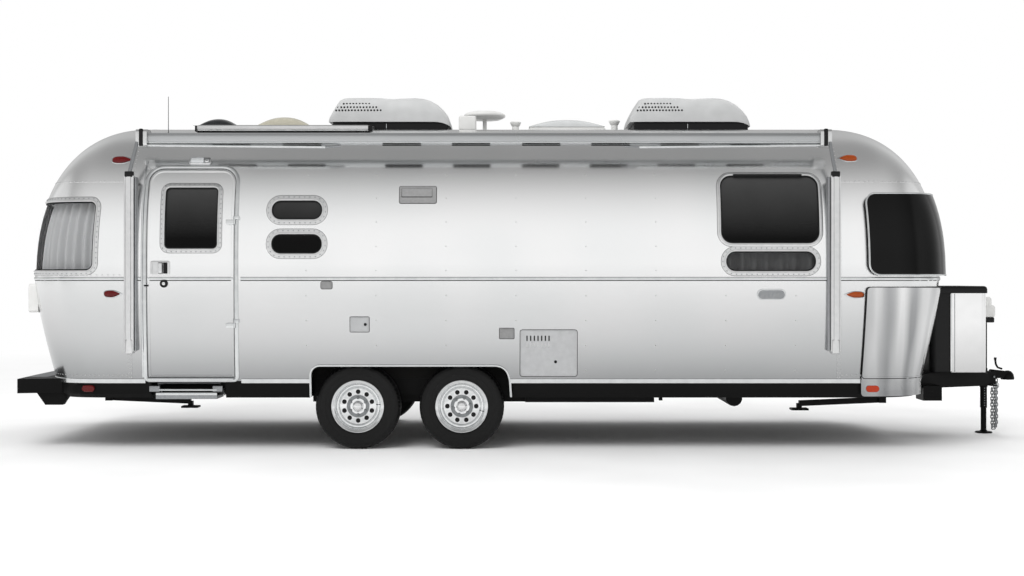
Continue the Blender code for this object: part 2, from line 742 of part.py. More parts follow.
def make_covers(wall):
    """Covers, vents and louvres that follow the door-side skin."""
    sheet = body_shell("covers", -COVER_PROUD, COVER_SUNK)
    for spec in COVERS:
        flat = (spec["x0"], spec["x1"], spec["z0"], spec["z1"], spec["radius"])
        cover = join(copy_of(sheet, spec["name"]), [side_cut("cover", flat, -1, 0.0, 3)], "INTERSECT")
        cuts = []
        if spec["name"] == "access_large":
            for z0, z1 in LOUVRE_ROWS:
                for i in range(LOUVRE["count"]):
                    x = LOUVRE["x0"] + LOUVRE["pitch"] * i
                    cuts.append(box("louvre", (x, -SIDE_OUT, z0), (x + LOUVRE["wide"], -SIDE_IN, z1)))
        if spec["name"] == "range_vent":
            flap = (VENT_FLAP["x0"], VENT_FLAP["x1"], VENT_FLAP["z0"], VENT_FLAP["z1"], VENT_FLAP["radius"])
            cuts.append(side_cut("flap", flap, -1, 0.0, 2))
        cover = join(cover, cuts, "DIFFERENCE")
        wall = join(wall, [cover], "UNION")
    bpy.data.objects.remove(sheet, do_unlink=True)
    front = surface_y(PORCH_X[0], PORCH_Z[0]) + PORCH_PROUD
    back = surface_y(PORCH_X[0], PORCH_Z[1]) + GAP
    porch = prism("porch", rounded(*PORCH_X, *PORCH_Z, 0.02, 3), "Y", -front, -back)
    return join(wall, [porch], "UNION")


def make_shell():
    shell = body_shell("shell", 0.0, WALL)
    x0 = -ENDS[-1]["start"]
    x1 = ENDS[1]["start"]
    top = WALL_TOP_Z
    half = GAP / 2
    mid = SIDE_Y / 2
    regions = {
        "wall_curb": ((x0 + half, -FAR, 0), (x1 - half, -mid, top - half)),
        "wall_street": ((x0 + half, mid, 0), (x1 - half, FAR, top - half)),
        "roof": ((x0 + half, -FAR, top + half), (x1 - half, FAR, FAR)),
        "cap_rear": ((-FAR, -FAR, 0), (x0 - half, FAR, FAR)),
        "cap_front": ((x1 + half, -FAR, 0), (FAR, FAR, FAR)),
    }
    panels = {}
    for name, (low, high) in regions.items():
        panels[name] = join(copy_of(shell, name), [box(name + "_part", low, high)], "INTERSECT")
    for side, wall in ((-1, "wall_curb"), (1, "wall_street")):
        cuts = [side_cut("main", WINDOW_MAIN, side), side_cut("low", WINDOW_LOW, side),
                arch_cut("arch", side)]
        if side < 0:
            cuts += [side_cut("ovals", OVAL_UPPER, side), side_cut("ovals", OVAL_LOWER, side)]
            cuts.append(door_cut("doorway", SWING_GAP))
        panels[wall] = join(panels[wall], cuts, "DIFFERENCE")
    ax, ay = DOOR_AXIS
    for z in HINGE_Z:
        low = z + HINGE_HALF + GAP
        barrel = rod("barrel", (ax, ay, low), (ax, ay, low + HINGE_FIXED), HINGE_R, 12)
        root_y = WALL / 2 - surface_y(ax, z)
        strap = box("strap", (ax, ay - HINGE_R, low), (ax + HINGE_LEAF, root_y, low + HINGE_FIXED))
        panels["wall_curb"] = join(panels["wall_curb"], [barrel, strap], "UNION")
    panels["wall_curb"] = make_covers(panels["wall_curb"])
    for end, name, glass, middle in ((-1, "cap_rear", REAR_GLASS, REAR_MIDDLE_Y),
                                     (1, "cap_front", FRONT_GLASS, FRONT_MIDDLE_Y)):
        cuts = [wrap_cut("wrap", end, side=side, **glass) for side in (-1, 1)]
        cuts.append(middle_cut("middle", end, middle, glass["z0"], glass["z1"], glass["radius"]))
        panels[name] = join(panels[name], cuts, "DIFFERENCE")
        lamps = [marker(spec, side) for spec in MARKERS if spec["end"] == end for side in (-1, 1)]
        panels[name] = join(panels[name], lamps, "UNION")
    panels["cap_front"] = join(panels["cap_front"], guard_lugs(), "UNION")
    panels["cap_rear"] = join(panels["cap_rear"], tail_lamps(), "UNION")
    panels["roof"] = join(panels["roof"], roof_caps(), "UNION")
    for name in ("wall_curb", "wall_street", "roof", "cap_rear", "cap_front"):
        keep(panels[name], name, ALU, 0.3, 1.0)
    bpy.data.objects.remove(shell, do_unlink=True)


def guard_lugs():
    """Ears on the front cap that hold the window guard's hinge rod."""
    axis_x = guard_axis_x()
    lugs = []
    for low, high in ((-GUARD_LUG_Y - GUARD_LUG, -GUARD_LUG_Y - GAP),
                      (GUARD_LUG_Y + GAP, GUARD_LUG_Y + GUARD_LUG)):
        lugs.append(box("lug", (axis_x - 0.08, low, GUARD_AXIS_Z),
                        (axis_x + GUARD_BARREL_R, high, GUARD_AXIS_Z + GUARD_LUG_HIGH)))
    return lugs


def tail_lamps():
    """Upright lamp housings on the rear cap."""
    housings = []
    for side in (-1, 1):
        y0, y1 = sorted((side * TAIL_Y[0], side * TAIL_Y[1]))
        skin_x = end_surface_x(-1, (TAIL_Y[0] + TAIL_Y[1]) / 2, TAIL_Z[0])
        housings.append(prism("tail", rounded(y0, y1, *TAIL_Z, 0.03, 2), "X", skin_x - TAIL_PROUD,
                              skin_x + WALL / 2))
    return housings


def roof_caps():
    """Flared pipe caps and a plain box on the roof."""
    caps = []
    for x, high in PIPE_CAPS:
        caps.append(lathe("pipe", [(0.0, SEAT_Z - WALL / 2), (PIPE_R, SEAT_Z - WALL / 2),
                                   (PIPE_R, ROOF_Z + high - 0.05), (PIPE_CAP_R, ROOF_Z + high - 0.012),
                                   (PIPE_CAP_R, ROOF_Z + high), (0.0, ROOF_Z + high)], "Z", (x, 0, 0), 10))
    caps.append(box("sensor", (SENSOR["x0"], SENSOR["y0"], ROOF_Z - WALL / 2),
                    (SENSOR["x1"], SENSOR["y1"], ROOF_Z + SENSOR["high"])))
    return caps


def end_surface_x(end, y, z, inset=0.0):
    """Where the skin of one end lies at a station across the body."""
    ring = body_ring(z, inset)
    for (xa, ya), (xb, yb) in zip(ring, ring[1:] + ring[:1]):
        if xa * end > 0 and xb * end > 0 and ya != yb and min(ya, yb) <= y <= max(ya, yb):
            return xa + (xb - xa) * (y - ya) / (yb - ya)
    return 0.0


def guard_axis_x():
    return end_surface_x(1, 0.0, GUARD_AXIS_Z) + GUARD_OUT[0] - 0.002


def make_glass():
    pane_skin = body_shell("pane_skin", GLASS_OUT, GLASS_IN)
    flat = [("window_main", WINDOW_MAIN, (-1, 1)), ("window_low", WINDOW_LOW, (-1, 1)),
            ("oval_upper", OVAL_UPPER, (-1,)), ("oval_lower", OVAL_LOWER, (-1,))]
    for name, spec, sides in flat:
        for side in sides:
            full = name + ("_curb" if side < 0 else "_street")
            pane = join(copy_of(pane_skin, full), [side_cut("pane", spec, side, -GAP)], "INTERSECT")
            keep(pane, full, TINT, 0.1)
    pane = join(copy_of(pane_skin, "door_glass"), [side_cut("pane", DOOR_GLASS, -1, -GAP)], "INTERSECT")
    keep(pane, "door_glass", TINT, 0.1)
    hang(pane, (*DOOR_AXIS, 0))
    for side, tail in ((-1, "curb"), (1, "street")):
        pane = join(copy_of(pane_skin, "glass"), [wrap_cut("pane", -1, side=side, grow=-GAP, **REAR_GLASS)],
                    "INTERSECT")
        keep(pane, "rear_glass_" + tail, TINT, 0.1)
    shape = REAR_GLASS
    pane = join(copy_of(pane_skin, "glass"),
                [middle_cut("pane", -1, REAR_MIDDLE_Y, shape["z0"], shape["z1"], shape["radius"], -GAP)],
                "INTERSECT")
    keep(pane, "rear_glass_middle", TINT, 0.1)
    bpy.data.objects.remove(pane_skin, do_unlink=True)
    shape = FRONT_GLASS
    ribbon = body_shell("ribbon", WALL + GAP, WALL + GAP + FRONT_PANE)
    part = box("front_part", (shape["edge_x"] - FRONT_LAP, -FAR, shape["z0"] - FRONT_LAP),
               (FAR, FAR, shape["z1"] + FRONT_LAP))
    keep(join(ribbon, [part], "INTERSECT"), "front_glass", TINT, 0.1)


def make_door():
    leaf = join(body_shell("leaf", 0.0, WALL), [door_cut("leaf_cut", 0.0)], "INTERSECT")
    leaf = join(leaf, [side_cut("pane", DOOR_GLASS, -1)], "DIFFERENCE")
    skin_y = -SIDE_Y
    plate = prism("plate", rounded(HANDLE_X0, HANDLE_X0 + HANDLE_LONG, HANDLE_TOP_Z - HANDLE_HIGH,
                                   HANDLE_TOP_Z,
                                   0.03, 3), "Y", skin_y - 0.011, skin_y + HINGE_LEAF)
    paddle = prism("paddle", rounded(PADDLE_X0, PADDLE_X0 + PADDLE_W, HANDLE_TOP_Z - 0.1,
                                     HANDLE_TOP_Z - 0.012,
                                     0.012, 3), "Y", skin_y - 0.029, skin_y)
    lock = rod("lock", (LOCK_X, skin_y - 0.011, LOCK_Z), (LOCK_X, skin_y + HINGE_LEAF, LOCK_Z), LOCK_R)
    leaf = join(leaf, [plate, paddle, lock], "UNION")
    ax, ay = DOOR_AXIS
    for z in HINGE_Z:
        low, high = z - HINGE_HALF, z + HINGE_HALF
        barrel = rod("barrel", (ax, ay, low), (ax, ay, high), HINGE_R, 12)
        strap = box("strap", (ax - HINGE_LEAF, ay - HINGE_R, low), (ax, ay + HINGE_R, high))
        root_in = box("strap_root", (ax - HINGE_LEAF, ay - HINGE_R, low),
                      (ax - 0.012, WALL / 2 - surface_y(ax, z), high))
        leaf = join(leaf, [strap, root_in, barrel], "UNION")
    keep(leaf, "door_leaf", ALU, 0.3, 1.0)
    hang(leaf, (*DOOR_AXIS, 0))


def make_floor():
    slab = box("slab", (-FAR, -FAR, BODY_FOOT_Z), (FAR, FAR, FLOOR_TOP_Z))
    tubs = []
    cuts = []
    for side in (-1, 1):
        low, high = sorted((side * WELL_Y, side * SIDE_Y))
        tubs.append(box("tub", (WELL_X0 - WELL_SHEET, low, BODY_FOOT_Z + 0.002),
                        (WELL_X1 + WELL_SHEET, high, WELL_TOP_Z + WELL_SHEET)))
        low, high = sorted((side * (WELL_Y + WELL_SHEET), side * SIDE_OUT))
        cuts.append(box("tub_in", (WELL_X0, low, 0), (WELL_X1, high, WELL_TOP_Z)))
    floor = join(slab, tubs, "UNION")
    floor = join(floor, [body_solid("inside", WALL + GAP)], "INTERSECT")
    floor = join(floor, cuts, "DIFFERENCE")
    keep(floor, "floor", (0.30, 0.26, 0.20), 0.7)


def rail_plan(side, grow=0.0):
    rear = Vector((HITCH_REAR[0] - grow, side * HITCH_REAR[1]))
    front = Vector((HITCH_FRONT[0] + grow, side * HITCH_FRONT[1]))
    run = (front - rear).normalized()
    across = Vector((-run.y, run.x)) * (HITCH_W / 2 + grow)
    return [tuple(rear + across), tuple(rear - across), tuple(front - across), tuple(front + across)]


def loft(name, rings):
    """A closed body through outlines of as many points, each with its height."""
    bm = bmesh.new()
    rows = [[bm.verts.new((x, y, z)) for x, y in ring] for z, ring in rings]
    for low, high in zip(rows, rows[1:]):
        for i in range(len(low)):
            j = (i + 1) % len(low)
            bm.faces.new((low[i], low[j], high[j]))
            bm.faces.new((low[i], high[j], high[i]))
    bm.faces.new(rows[0])
    bm.faces.new(rows[-1])
    return mesh_object(name, bm)


def belly_solid(name, grow=0.0):
    """The belly pan's block: three outlines, drawn in towards the bottom."""
    return loft(name, [(z, body_ring(BODY_FOOT_Z, inset - grow)) for z, inset in BELLY_RINGS])


def make_underframe():
    belly = belly_solid("belly")
    cuts = []
    for side in (-1, 1):
        low, high = sorted((side * (WELL_Y + WELL_SHEET), side * SIDE_OUT))
        cuts.append(box("well", (WELL_X0, low, 0), (WELL_X1, high, WELL_TOP_Z)))
        cuts.append(prism("rail", rail_plan(side, GAP), "Z", 0, HITCH_Z1 + GAP))
    cuts.append(box("step_bay", (STEP_X0, -SIDE_OUT, 0), (STEP_X1, -STEP_Y_IN, FRAME_TOP_Z - 0.001)))
    belly = join(belly, cuts, "DIFFERENCE")
    split = WELL_X0 - 0.03
    rear = join(copy_of(belly, "rear"), [box("rear_part", (-FAR, -FAR, 0), (split - GAP / 2, FAR, FAR))],
                "INTERSECT")
    belly = join(belly, [box("front_part", (split + GAP / 2, -FAR, 0), (FAR, FAR, FAR))], "INTERSECT")
    up = BELLY_Z + JOIN_UP
    extra = []
    for side in (-1, 1):
        extra.append(box("rail", (WELL_X0 - 0.02, side * RAIL_Y - RAIL_W / 2, BELLY_Z - RAIL_DROP),
                         (WELL_X1 + 0.265, side * RAIL_Y + RAIL_W / 2, up)))
    extra.append(box("tank", (TANK["x0"], TANK["y0"], BELLY_Z - TANK["low"]), (TANK["x1"], TANK["y1"], up)))
    drain_z = BELLY_Z - 0.016
    extra.append(rod("drain", (DRAIN_X, DRAIN_Y[0], drain_z), (DRAIN_X, DRAIN_Y[1], drain_z), DRAIN_R, 14))
    extra.append(rod("pipe", (PIPE_X, PIPE_Y, PIPE_LOW_Z), (PIPE_X, PIPE_Y, up), 0.016, 8))
    rear_extra = []
    for leg in LEGS:
        ears = extra if leg["x"] > 0 else rear_extra
        for near, far in ((-LEG_EYE - LEG_EAR, -LEG_EYE - GAP), (LEG_EYE + GAP, LEG_EYE + LEG_EAR)):
            ears.append(box("ear", (leg["x"] - LEG_EAR_HALF, leg["y"] + near, LEG_Z - LEG_EAR_LOW),
                            (leg["x"] + LEG_EAR_HALF, leg["y"] + far, up)))
    py, pz = STEP_PIVOT
    for low, high in ((STEP_X0 - STEP_SIDE, STEP_X0 + STEP_SIDE - GAP),
                      (STEP_END_X - STEP_SIDE + GAP, STEP_X1 + STEP_SIDE)):
        rear_extra.append(box("step_ear", (low, py - STEP_EAR, pz - STEP_EAR),
                              (high, py + STEP_EAR, pz + STEP_EAR / 2)))
    lamp_x = -ENDS[-1]["start"] - BAND_LAMP_REAR
    for side in (-1, 1):
        skin_y = surface_y(lamp_x, BODY_FOOT_Z)
        rear_extra.append(lamp(lamp_x, BAND_LAMP["z"], BAND_LAMP["long"], BAND_LAMP["high"], skin_y, side))
    keep(join(belly, extra, "UNION"), "underframe", BLACK, 0.6)
    keep(join(rear, rear_extra, "UNION"), "underframe_rear", BLACK, 0.6)


def make_hitch():
    parts = [prism("rail", rail_plan(side), "Z", HITCH_Z0, HITCH_Z1) for side in (-1, 1)]
    nose = prism("nose", [(NOSE_X0, -NOSE_BACK_Y), (NOSE_X0, NOSE_BACK_Y), (NOSE_X, NOSE_Y),
                          (NOSE_X, -NOSE_Y)],
                 "Z", HITCH_Z0 + 0.01, HITCH_Z1 - 0.004)
    cross = box("cross", (CROSS_X[0], -CROSS_Y, HITCH_Z0 + CROSS_IN),
                (CROSS_X[1], CROSS_Y, HITCH_Z1 - CROSS_IN))
    battery = box("battery", (BATTERY_X[0], BATTERY_Y[0], BATTERY_Z0),
                  (BATTERY_X[1], BATTERY_Y[1], HITCH_Z0 + 0.03))
    tray = prism("tray", rounded(*TRAY_X, -TRAY_Y, TRAY_Y, 0.05), "Z", HITCH_Z1 - TRAY_LAP, HITCH_Z1 + TRAY)
    frame = join(parts[0], [parts[1], nose, cross, battery, tray], "UNION")
    bore = rod("jack_bore", (JACK_X, 0, 0), (JACK_X, 0, JACK_TOP_Z), JACK_R + GAP, 24)
    keep(join(frame, [bore], "DIFFERENCE"), "a_frame", BLACK, 0.6)


def make_coupler():
    low, high = COUPLER_Z
    back = NOSE_X + GAP
    tip = COUPLER_X
    neck = prism("neck", [(back, -0.05), (back, 0.05), (tip - 0.107, 0.045), (tip - 0.03, 0.036),
                          (tip, 0.012),
                          (tip, -0.012), (tip - 0.03, -0.036), (tip - 0.107, -0.045)], "Z", low, high)
    shoe = prism("shoe", [(NOSE_X - 0.036, -0.06), (NOSE_X - 0.036, 0.06), (NOSE_X + 0.04, 0.05),
                          (NOSE_X + 0.04, -0.05)], "Z", HITCH_Z1 + GAP, high)
    neck = join(neck, [shoe], "UNION")
    socket = rod("socket", (SOCKET_X, 0, 0), (SOCKET_X, 0, SOCKET_Z), SOCKET_R, 16)
    neck = join(neck, [socket], "DIFFERENCE")
    lever = beam("lever", (tip - 0.117, 0, high - 0.012), (tip - 0.167, 0, high + 0.078), 0.03, 0.014,
                 (1, 0, 0))
    keep(join(neck, [lever], "UNION"), "coupler", BLACK, 0.5)


def make_jack():
    low = JACK_FOOT_Z
    top = JACK_TOP_Z
    sleeve = [(0.0, top - JACK_CAP), (JACK_BORE, top - JACK_CAP), (JACK_BORE, low), (JACK_R, low),
              (JACK_R, top),
              (0.0, top)]
    outer = lathe("jack", sleeve, "Z", (JACK_X, 0, 0), 24)
    in_r = (JACK_BORE + JACK_R) / 2
    flange = lathe("flange", [(in_r, HITCH_Z1 + GAP), (FLANGE_R, HITCH_Z1 + GAP),
                              (FLANGE_R, HITCH_Z1 + JACK_PAD),
                              (in_r, HITCH_Z1 + JACK_PAD)], "Z", (JACK_X, 0, 0), 24)
    low, top = JACK_HEAD_Z
    head = prism("head", rounded(JACK_X - 0.042, JACK_X + 0.095, -0.05, 0.05, 0.03), "Z", low, top)
    crown = prism("crown", rounded(JACK_X - 0.03, JACK_X + 0.08, -0.035, 0.035, 0.03), "Z", top - 0.01,
                  top + 0.015)
    keep(join(outer, [flange, head, crown], "UNION"), "jack_post", (0.75, 0.75, 0.73), 0.4)
    pad = JACK_PAD_R
    leg = lathe("leg", [(0.0, 0.0), (pad - 0.005, 0.0), (pad, JACK_PAD / 2), (pad - 0.005, JACK_PAD),
                        (LEG_R, JACK_PAD + 0.018), (LEG_R, JACK_LEG_TOP_Z), (0.0, JACK_LEG_TOP_Z)], "Z",
                (JACK_X, 0, 0), 24)
    keep(leg, "jack_leg", (0.5, 0.5, 0.5), 0.35, 1.0)
    hang(leg, (JACK_X, 0, 0))


def make_gas_cover():
    low = HITCH_Z1 + TRAY + GAP
    sheet = GAS_SHEET
    cover = prism("cover", rounded(GAS_X0, GAS_X1, -GAS_Y, GAS_Y, GAS_RADIUS), "Z", low, GAS_TOP_Z)
    hollow = prism("hollow", rounded(GAS_X0 + sheet, GAS_X1 - sheet, -GAS_Y + sheet, GAS_Y - sheet,
                                     GAS_RADIUS - sheet), "Z", 0, GAS_TOP_Z - sheet)
    keep(join(cover, [hollow], "DIFFERENCE"), "gas_cover", (0.8, 0.8, 0.8), 0.3, 1.0)
    lid = prism("lid", rounded(GAS_X0 - GAS_LAP, GAS_X1, -GAS_Y - GAS_LAP, GAS_Y + GAS_LAP,
                               GAS_RADIUS + 0.01), "Z",
                GAS_TOP_Z + GAP, GAS_TOP_Z + GAS_LID)
    keep(lid, "gas_lid", BLACK, 0.5)
    hang(lid, (GAS_X0 - GAS_LAP, 0, GAS_TOP_Z + GAS_LID))


def bumper_plan():
    """The bumper from above: bowed back, ends that turn in towards the body."""
    back = BUMPER_X
    bow = [(back + drop, y) for drop, y in zip((0.0, *BUMPER_BOW), (*BUMPER_BOW_Y, BUMPER_END_Y[0]))]
    front = (BUMPER_FRONT_X, BUMPER_END_Y[1])
    half = bow + [front]
    return half + [(x, -y) for x, y in reversed(half)]


def make_bumper():
    body = prism("bumper", bumper_plan(), "Z", BUMPER_Z0, LID_Z1)
    skids = []
    for side in (-1, 1):
        low, high = sorted((side * SKID_Y[0], side * SKID_Y[1]))
        outline = list(zip(SKID_X, (SKID_TOP_Z, SKID_Z, SKID_Z, SKID_TOP_Z)))
        skids.append(prism("skid", outline, "Y", low, high))
    body = join(body, skids, "UNION")
    end = LID_Y - LOCKER_END
    back = BUMPER_X + LOCKER_WALL
    pocket = prism("pocket", [(back + 0.013, -end), (back, 0.0), (back + 0.013, end), (LOCKER_X1, end),
                              (LOCKER_X1, -end)], "Z", BUMPER_Z0 + LOCKER_FLOOR, LID_Z1 + 1)
    seat = box("seat", (-FAR, -LID_Y - SWING_GAP, BUMPER_Z1),
               (LID_X + SWING_GAP, LID_Y + SWING_GAP, LID_Z1 + 1))
    keep_off = [belly_solid("belly_room", GAP), body_solid("body_room", -GAP)]
    body = join(body, keep_off + [pocket, seat], "DIFFERENCE")
    keep(body, "bumper", BLACK, 0.4)
    lid = prism("lid", bumper_plan(), "Z", BUMPER_Z1 + GAP, LID_Z1)
    lid = join(lid, [box("lid_part", (-FAR, -LID_Y, 0), (LID_X, LID_Y, LID_Z1 + 1))], "INTERSECT")
    keep(lid, "bumper_lid", (0.6, 0.6, 0.61), 0.4, 1.0)
    hang(lid, (LID_X, 0, LID_Z1))


def make_wheels():
    for where, x in WHEEL_X.items():
        for side, tail in ((-1, "curb"), (1, "street")):
            facing = "-Y" if side < 0 else "Y"
            centre = (x, side * WHEEL_Y, TYRE_R)
            rim = lathe("rim", [(RIM_SEAT_R * r, out) for r, out in RIM_PROFILE], facing, centre,
                        WHEEL_STEPS)
            holes = []
            start = 0.0 if where == "rear" else math.pi / HOLE_COUNT
            for i in range(HOLE_COUNT):
                a = start + math.tau * i / HOLE_COUNT
                hx = x + HOLE_RING_R * math.sin(a)
                hz = TYRE_R + HOLE_RING_R * math.cos(a)
                y0, y1 = sorted((side * (WHEEL_Y - 0.02), side * (WHEEL_Y + 0.1)))
                holes.append(rod("hole", (hx, y0, hz), (hx, y1, hz), HOLE_R, HOLE_SIDES))
            keep(join(rim, holes, "DIFFERENCE"), "rim_%s_%s" % (where, tail), (0.8, 0.8, 0.8), 0.25, 1.0)
            hang(bpy.data.objects["rim_%s_%s" % (where, tail)], centre)
            profile = TYRE_PROFILE + [(r, -h) for r, h in reversed(TYRE_PROFILE)]
            tyre = lathe("tyre", profile, facing, centre, WHEEL_STEPS)
            keep(tyre, "tyre_%s_%s" % (where, tail), BLACK, 0.9)
            hang(tyre, centre)


def make_axles():
    half = AXLE_HALF
    for where, x in WHEEL_X.items():
        tube = box("tube", (x + AXLE_AHEAD - half, -AXLE_END_Y, AXLE_Z - half),
                   (x + AXLE_AHEAD + half, AXLE_END_Y, AXLE_Z + half))
        parts = []
        for side in (-1, 1):
            arm_y = side * sum(AXLE_ARM_Y) / 2
            parts.append(beam("arm", (x + AXLE_AHEAD + 0.03, arm_y, AXLE_Z), (x - 0.03, arm_y, TYRE_R),
                              AXLE_ARM_Y[1] - AXLE_ARM_Y[0], AXLE_ARM_H))
            parts.append(rod("spindle", (x, side * SPINDLE_Y[0], TYRE_R), (x, side * SPINDLE_Y[1], TYRE_R),
                             SPINDLE_R, 16))
            parts.append(rod("drum", (x, side * DRUM_Y[0], TYRE_R), (x, side * DRUM_Y[1], TYRE_R), DRUM_R,
                             24))
        keep(join(tube, parts, "UNION"), "axle_" + where, BLACK, 0.6)


def feet_on(side, x, heights, out):
    """Stand-offs that bridge from the skin to a guard."""
    half = GUARD_FOOT / 2
    feet = []
    for z in heights:
        y = surface_y(x, z)
        low, high = sorted((side * (y - WALL / 2), side * (y + out)))
        feet.append(box("foot", (x - half, low, z - half), (x + half, high, z + half)))
    feet = join(feet[0], feet[1:], "UNION")
    return join(feet, [body_solid("clear", -GAP)], "DIFFERENCE")


def make_guards():
    z0, z1 = GUARD_Z0, GUARD_Z1
    band = body_shell("guard", -GUARD_OUT[1], -GUARD_OUT[0])
    for side, tail in ((-1, "curb"), (1, "street")):
        part = join(copy_of(band, "guard"),
                    [wrap_cut("guard", 1, GUARD_EDGE_X, GUARD_SPLIT_Y + SWING_GAP, z0, z1, GUARD_RADIUS,
                              side)],
                    "INTERSECT")
        feet = feet_on(side, GUARD_EDGE_X + GUARD_FOOT_IN, GUARD_FOOT_Z, GUARD_OUT[1] - 0.003)
        keep(join(part, [feet], "UNION"), "guard_" + tail, TINT, 0.15)
    middle = prism("middle", rounded(-GUARD_SPLIT_Y, GUARD_SPLIT_Y, z0, z1, 0.03), "X", *end_reach(1))
    part = join(band, [middle], "INTERSECT")
    axis_x = guard_axis_x()
    notches = []
    for side in (-1, 1):
        low, high = sorted((side * (GUARD_LUG_Y - SWING_GAP), side * (GUARD_LUG_Y + GUARD_LUG + SWING_GAP)))
        notches.append(box("notch", (axis_x - GUARD_FOOT, low, GUARD_AXIS_Z - GUARD_NOTCH),
                           (axis_x + GUARD_FOOT, high, GUARD_AXIS_Z + GUARD_NOTCH)))
    part = join(part, notches, "DIFFERENCE")
    barrel = rod("barrel", (axis_x, -GUARD_LUG_Y, GUARD_AXIS_Z), (axis_x, GUARD_LUG_Y, GUARD_AXIS_Z),
                 GUARD_BARREL_R, 10)
    part = join(part, [barrel], "UNION")
    keep(part, "guard_middle", TINT, 0.15)
    hang(part, (axis_x, 0, GUARD_AXIS_Z))


def skirt_block(name, out, lap):
    """The block under the stone guard, from its foot up into the sheet above."""
    rings = [(z, body_ring(BODY_FOOT_Z, inset - out)) for z, inset in BELLY_RINGS]
    rings.append((BODY_FOOT_Z + SKIRT_LAP, body_ring(BODY_FOOT_Z, lap - out)))
    return loft(name, rings)


def make_stone_guards():
    """Bright sheets on the lower front corners, with a skirt that covers the belly's edge."""
    near, far = STONE_OUT
    sheet = body_shell("stone", -far, -near)
    skirt = join(skirt_block("skirt", far, GAP), [skirt_block("skirt_room", near, -GAP)], "DIFFERENCE")
    lamp_x = ENDS[1]["start"] + BAND_LAMP_FRONT
    for side, tail in ((-1, "curb"), (1, "street")):
        upper = join(copy_of(sheet, "stone"),
                     [wrap_cut("stone", 1, STONE_EDGE_X, STONE_SPLIT_Y, BODY_FOOT_Z - STONE_RADIUS,
                               STONE_TOP_Z,
                               STONE_RADIUS, side)], "INTERSECT")
        lower = join(copy_of(skirt, "skirt"),
                     [wrap_cut("skirt", 1, STONE_EDGE_X, SKIRT_SPLIT_Y, SKIRT_FOOT_Z, STONE_TOP_Z,
                               STONE_RADIUS, side)], "INTERSECT")
        light = lamp(lamp_x, BAND_LAMP["z"], BAND_LAMP["long"], BAND_LAMP["high"],
                     surface_y(lamp_x, BODY_FOOT_Z, -far), side)
        light = join(light, [belly_solid("belly_room", GAP)], "DIFFERENCE")
        feet = feet_on(side, STONE_EDGE_X + GUARD_FOOT_IN, STONE_FOOT_Z, far - 0.001)
        keep(join(upper, [lower, light, feet], "UNION"), "stone_guard_" + tail, (0.8, 0.8, 0.8), 0.2, 1.0)
    bpy.data.objects.remove(sheet, do_unlink=True)
    bpy.data.objects.remove(skirt, do_unlink=True)


def make_air_units():
    top = ROOF_Z + AIR_HIGH
    for unit in AIR_UNITS:
        x0, x1 = unit["x0"], unit["x1"]
        base = box("base", (x0 + AIR_BASE_IN, -AIR_BASE_Y, SEAT_Z),
                   (x1 - AIR_BASE_IN, AIR_BASE_Y, ROOF_Z + AIR_BASE))
        low = ROOF_Z + AIR_BASE - 0.005
        profile = [(x0 + 0.02, low), (x1 - 0.01, low), (x1, top - 0.172), (x1 - 0.01, top - 0.092),
                   (x1 - 0.06, top - 0.027), (x1 - 0.16, top - 0.002), (x0 + 0.22, top), (x0 + 0.12,
                                                                                          top - 0.017),
                   (x0 + 0.02, top - 0.112), (x0, top - 0.172)]
        hood = prism("hood", profile, "Y", -AIR_Y, AIR_Y)
        bevel = hood.modifiers.new("soften", "BEVEL")
        bevel.width = AIR_SOFT
        bevel.segments = 2
        bevel.limit_method = "ANGLE"
        bevel.angle_limit = math.radians(50)
        keep(join(settle(hood), [base], "UNION"), unit["name"], (0.85, 0.85, 0.83), 0.5)


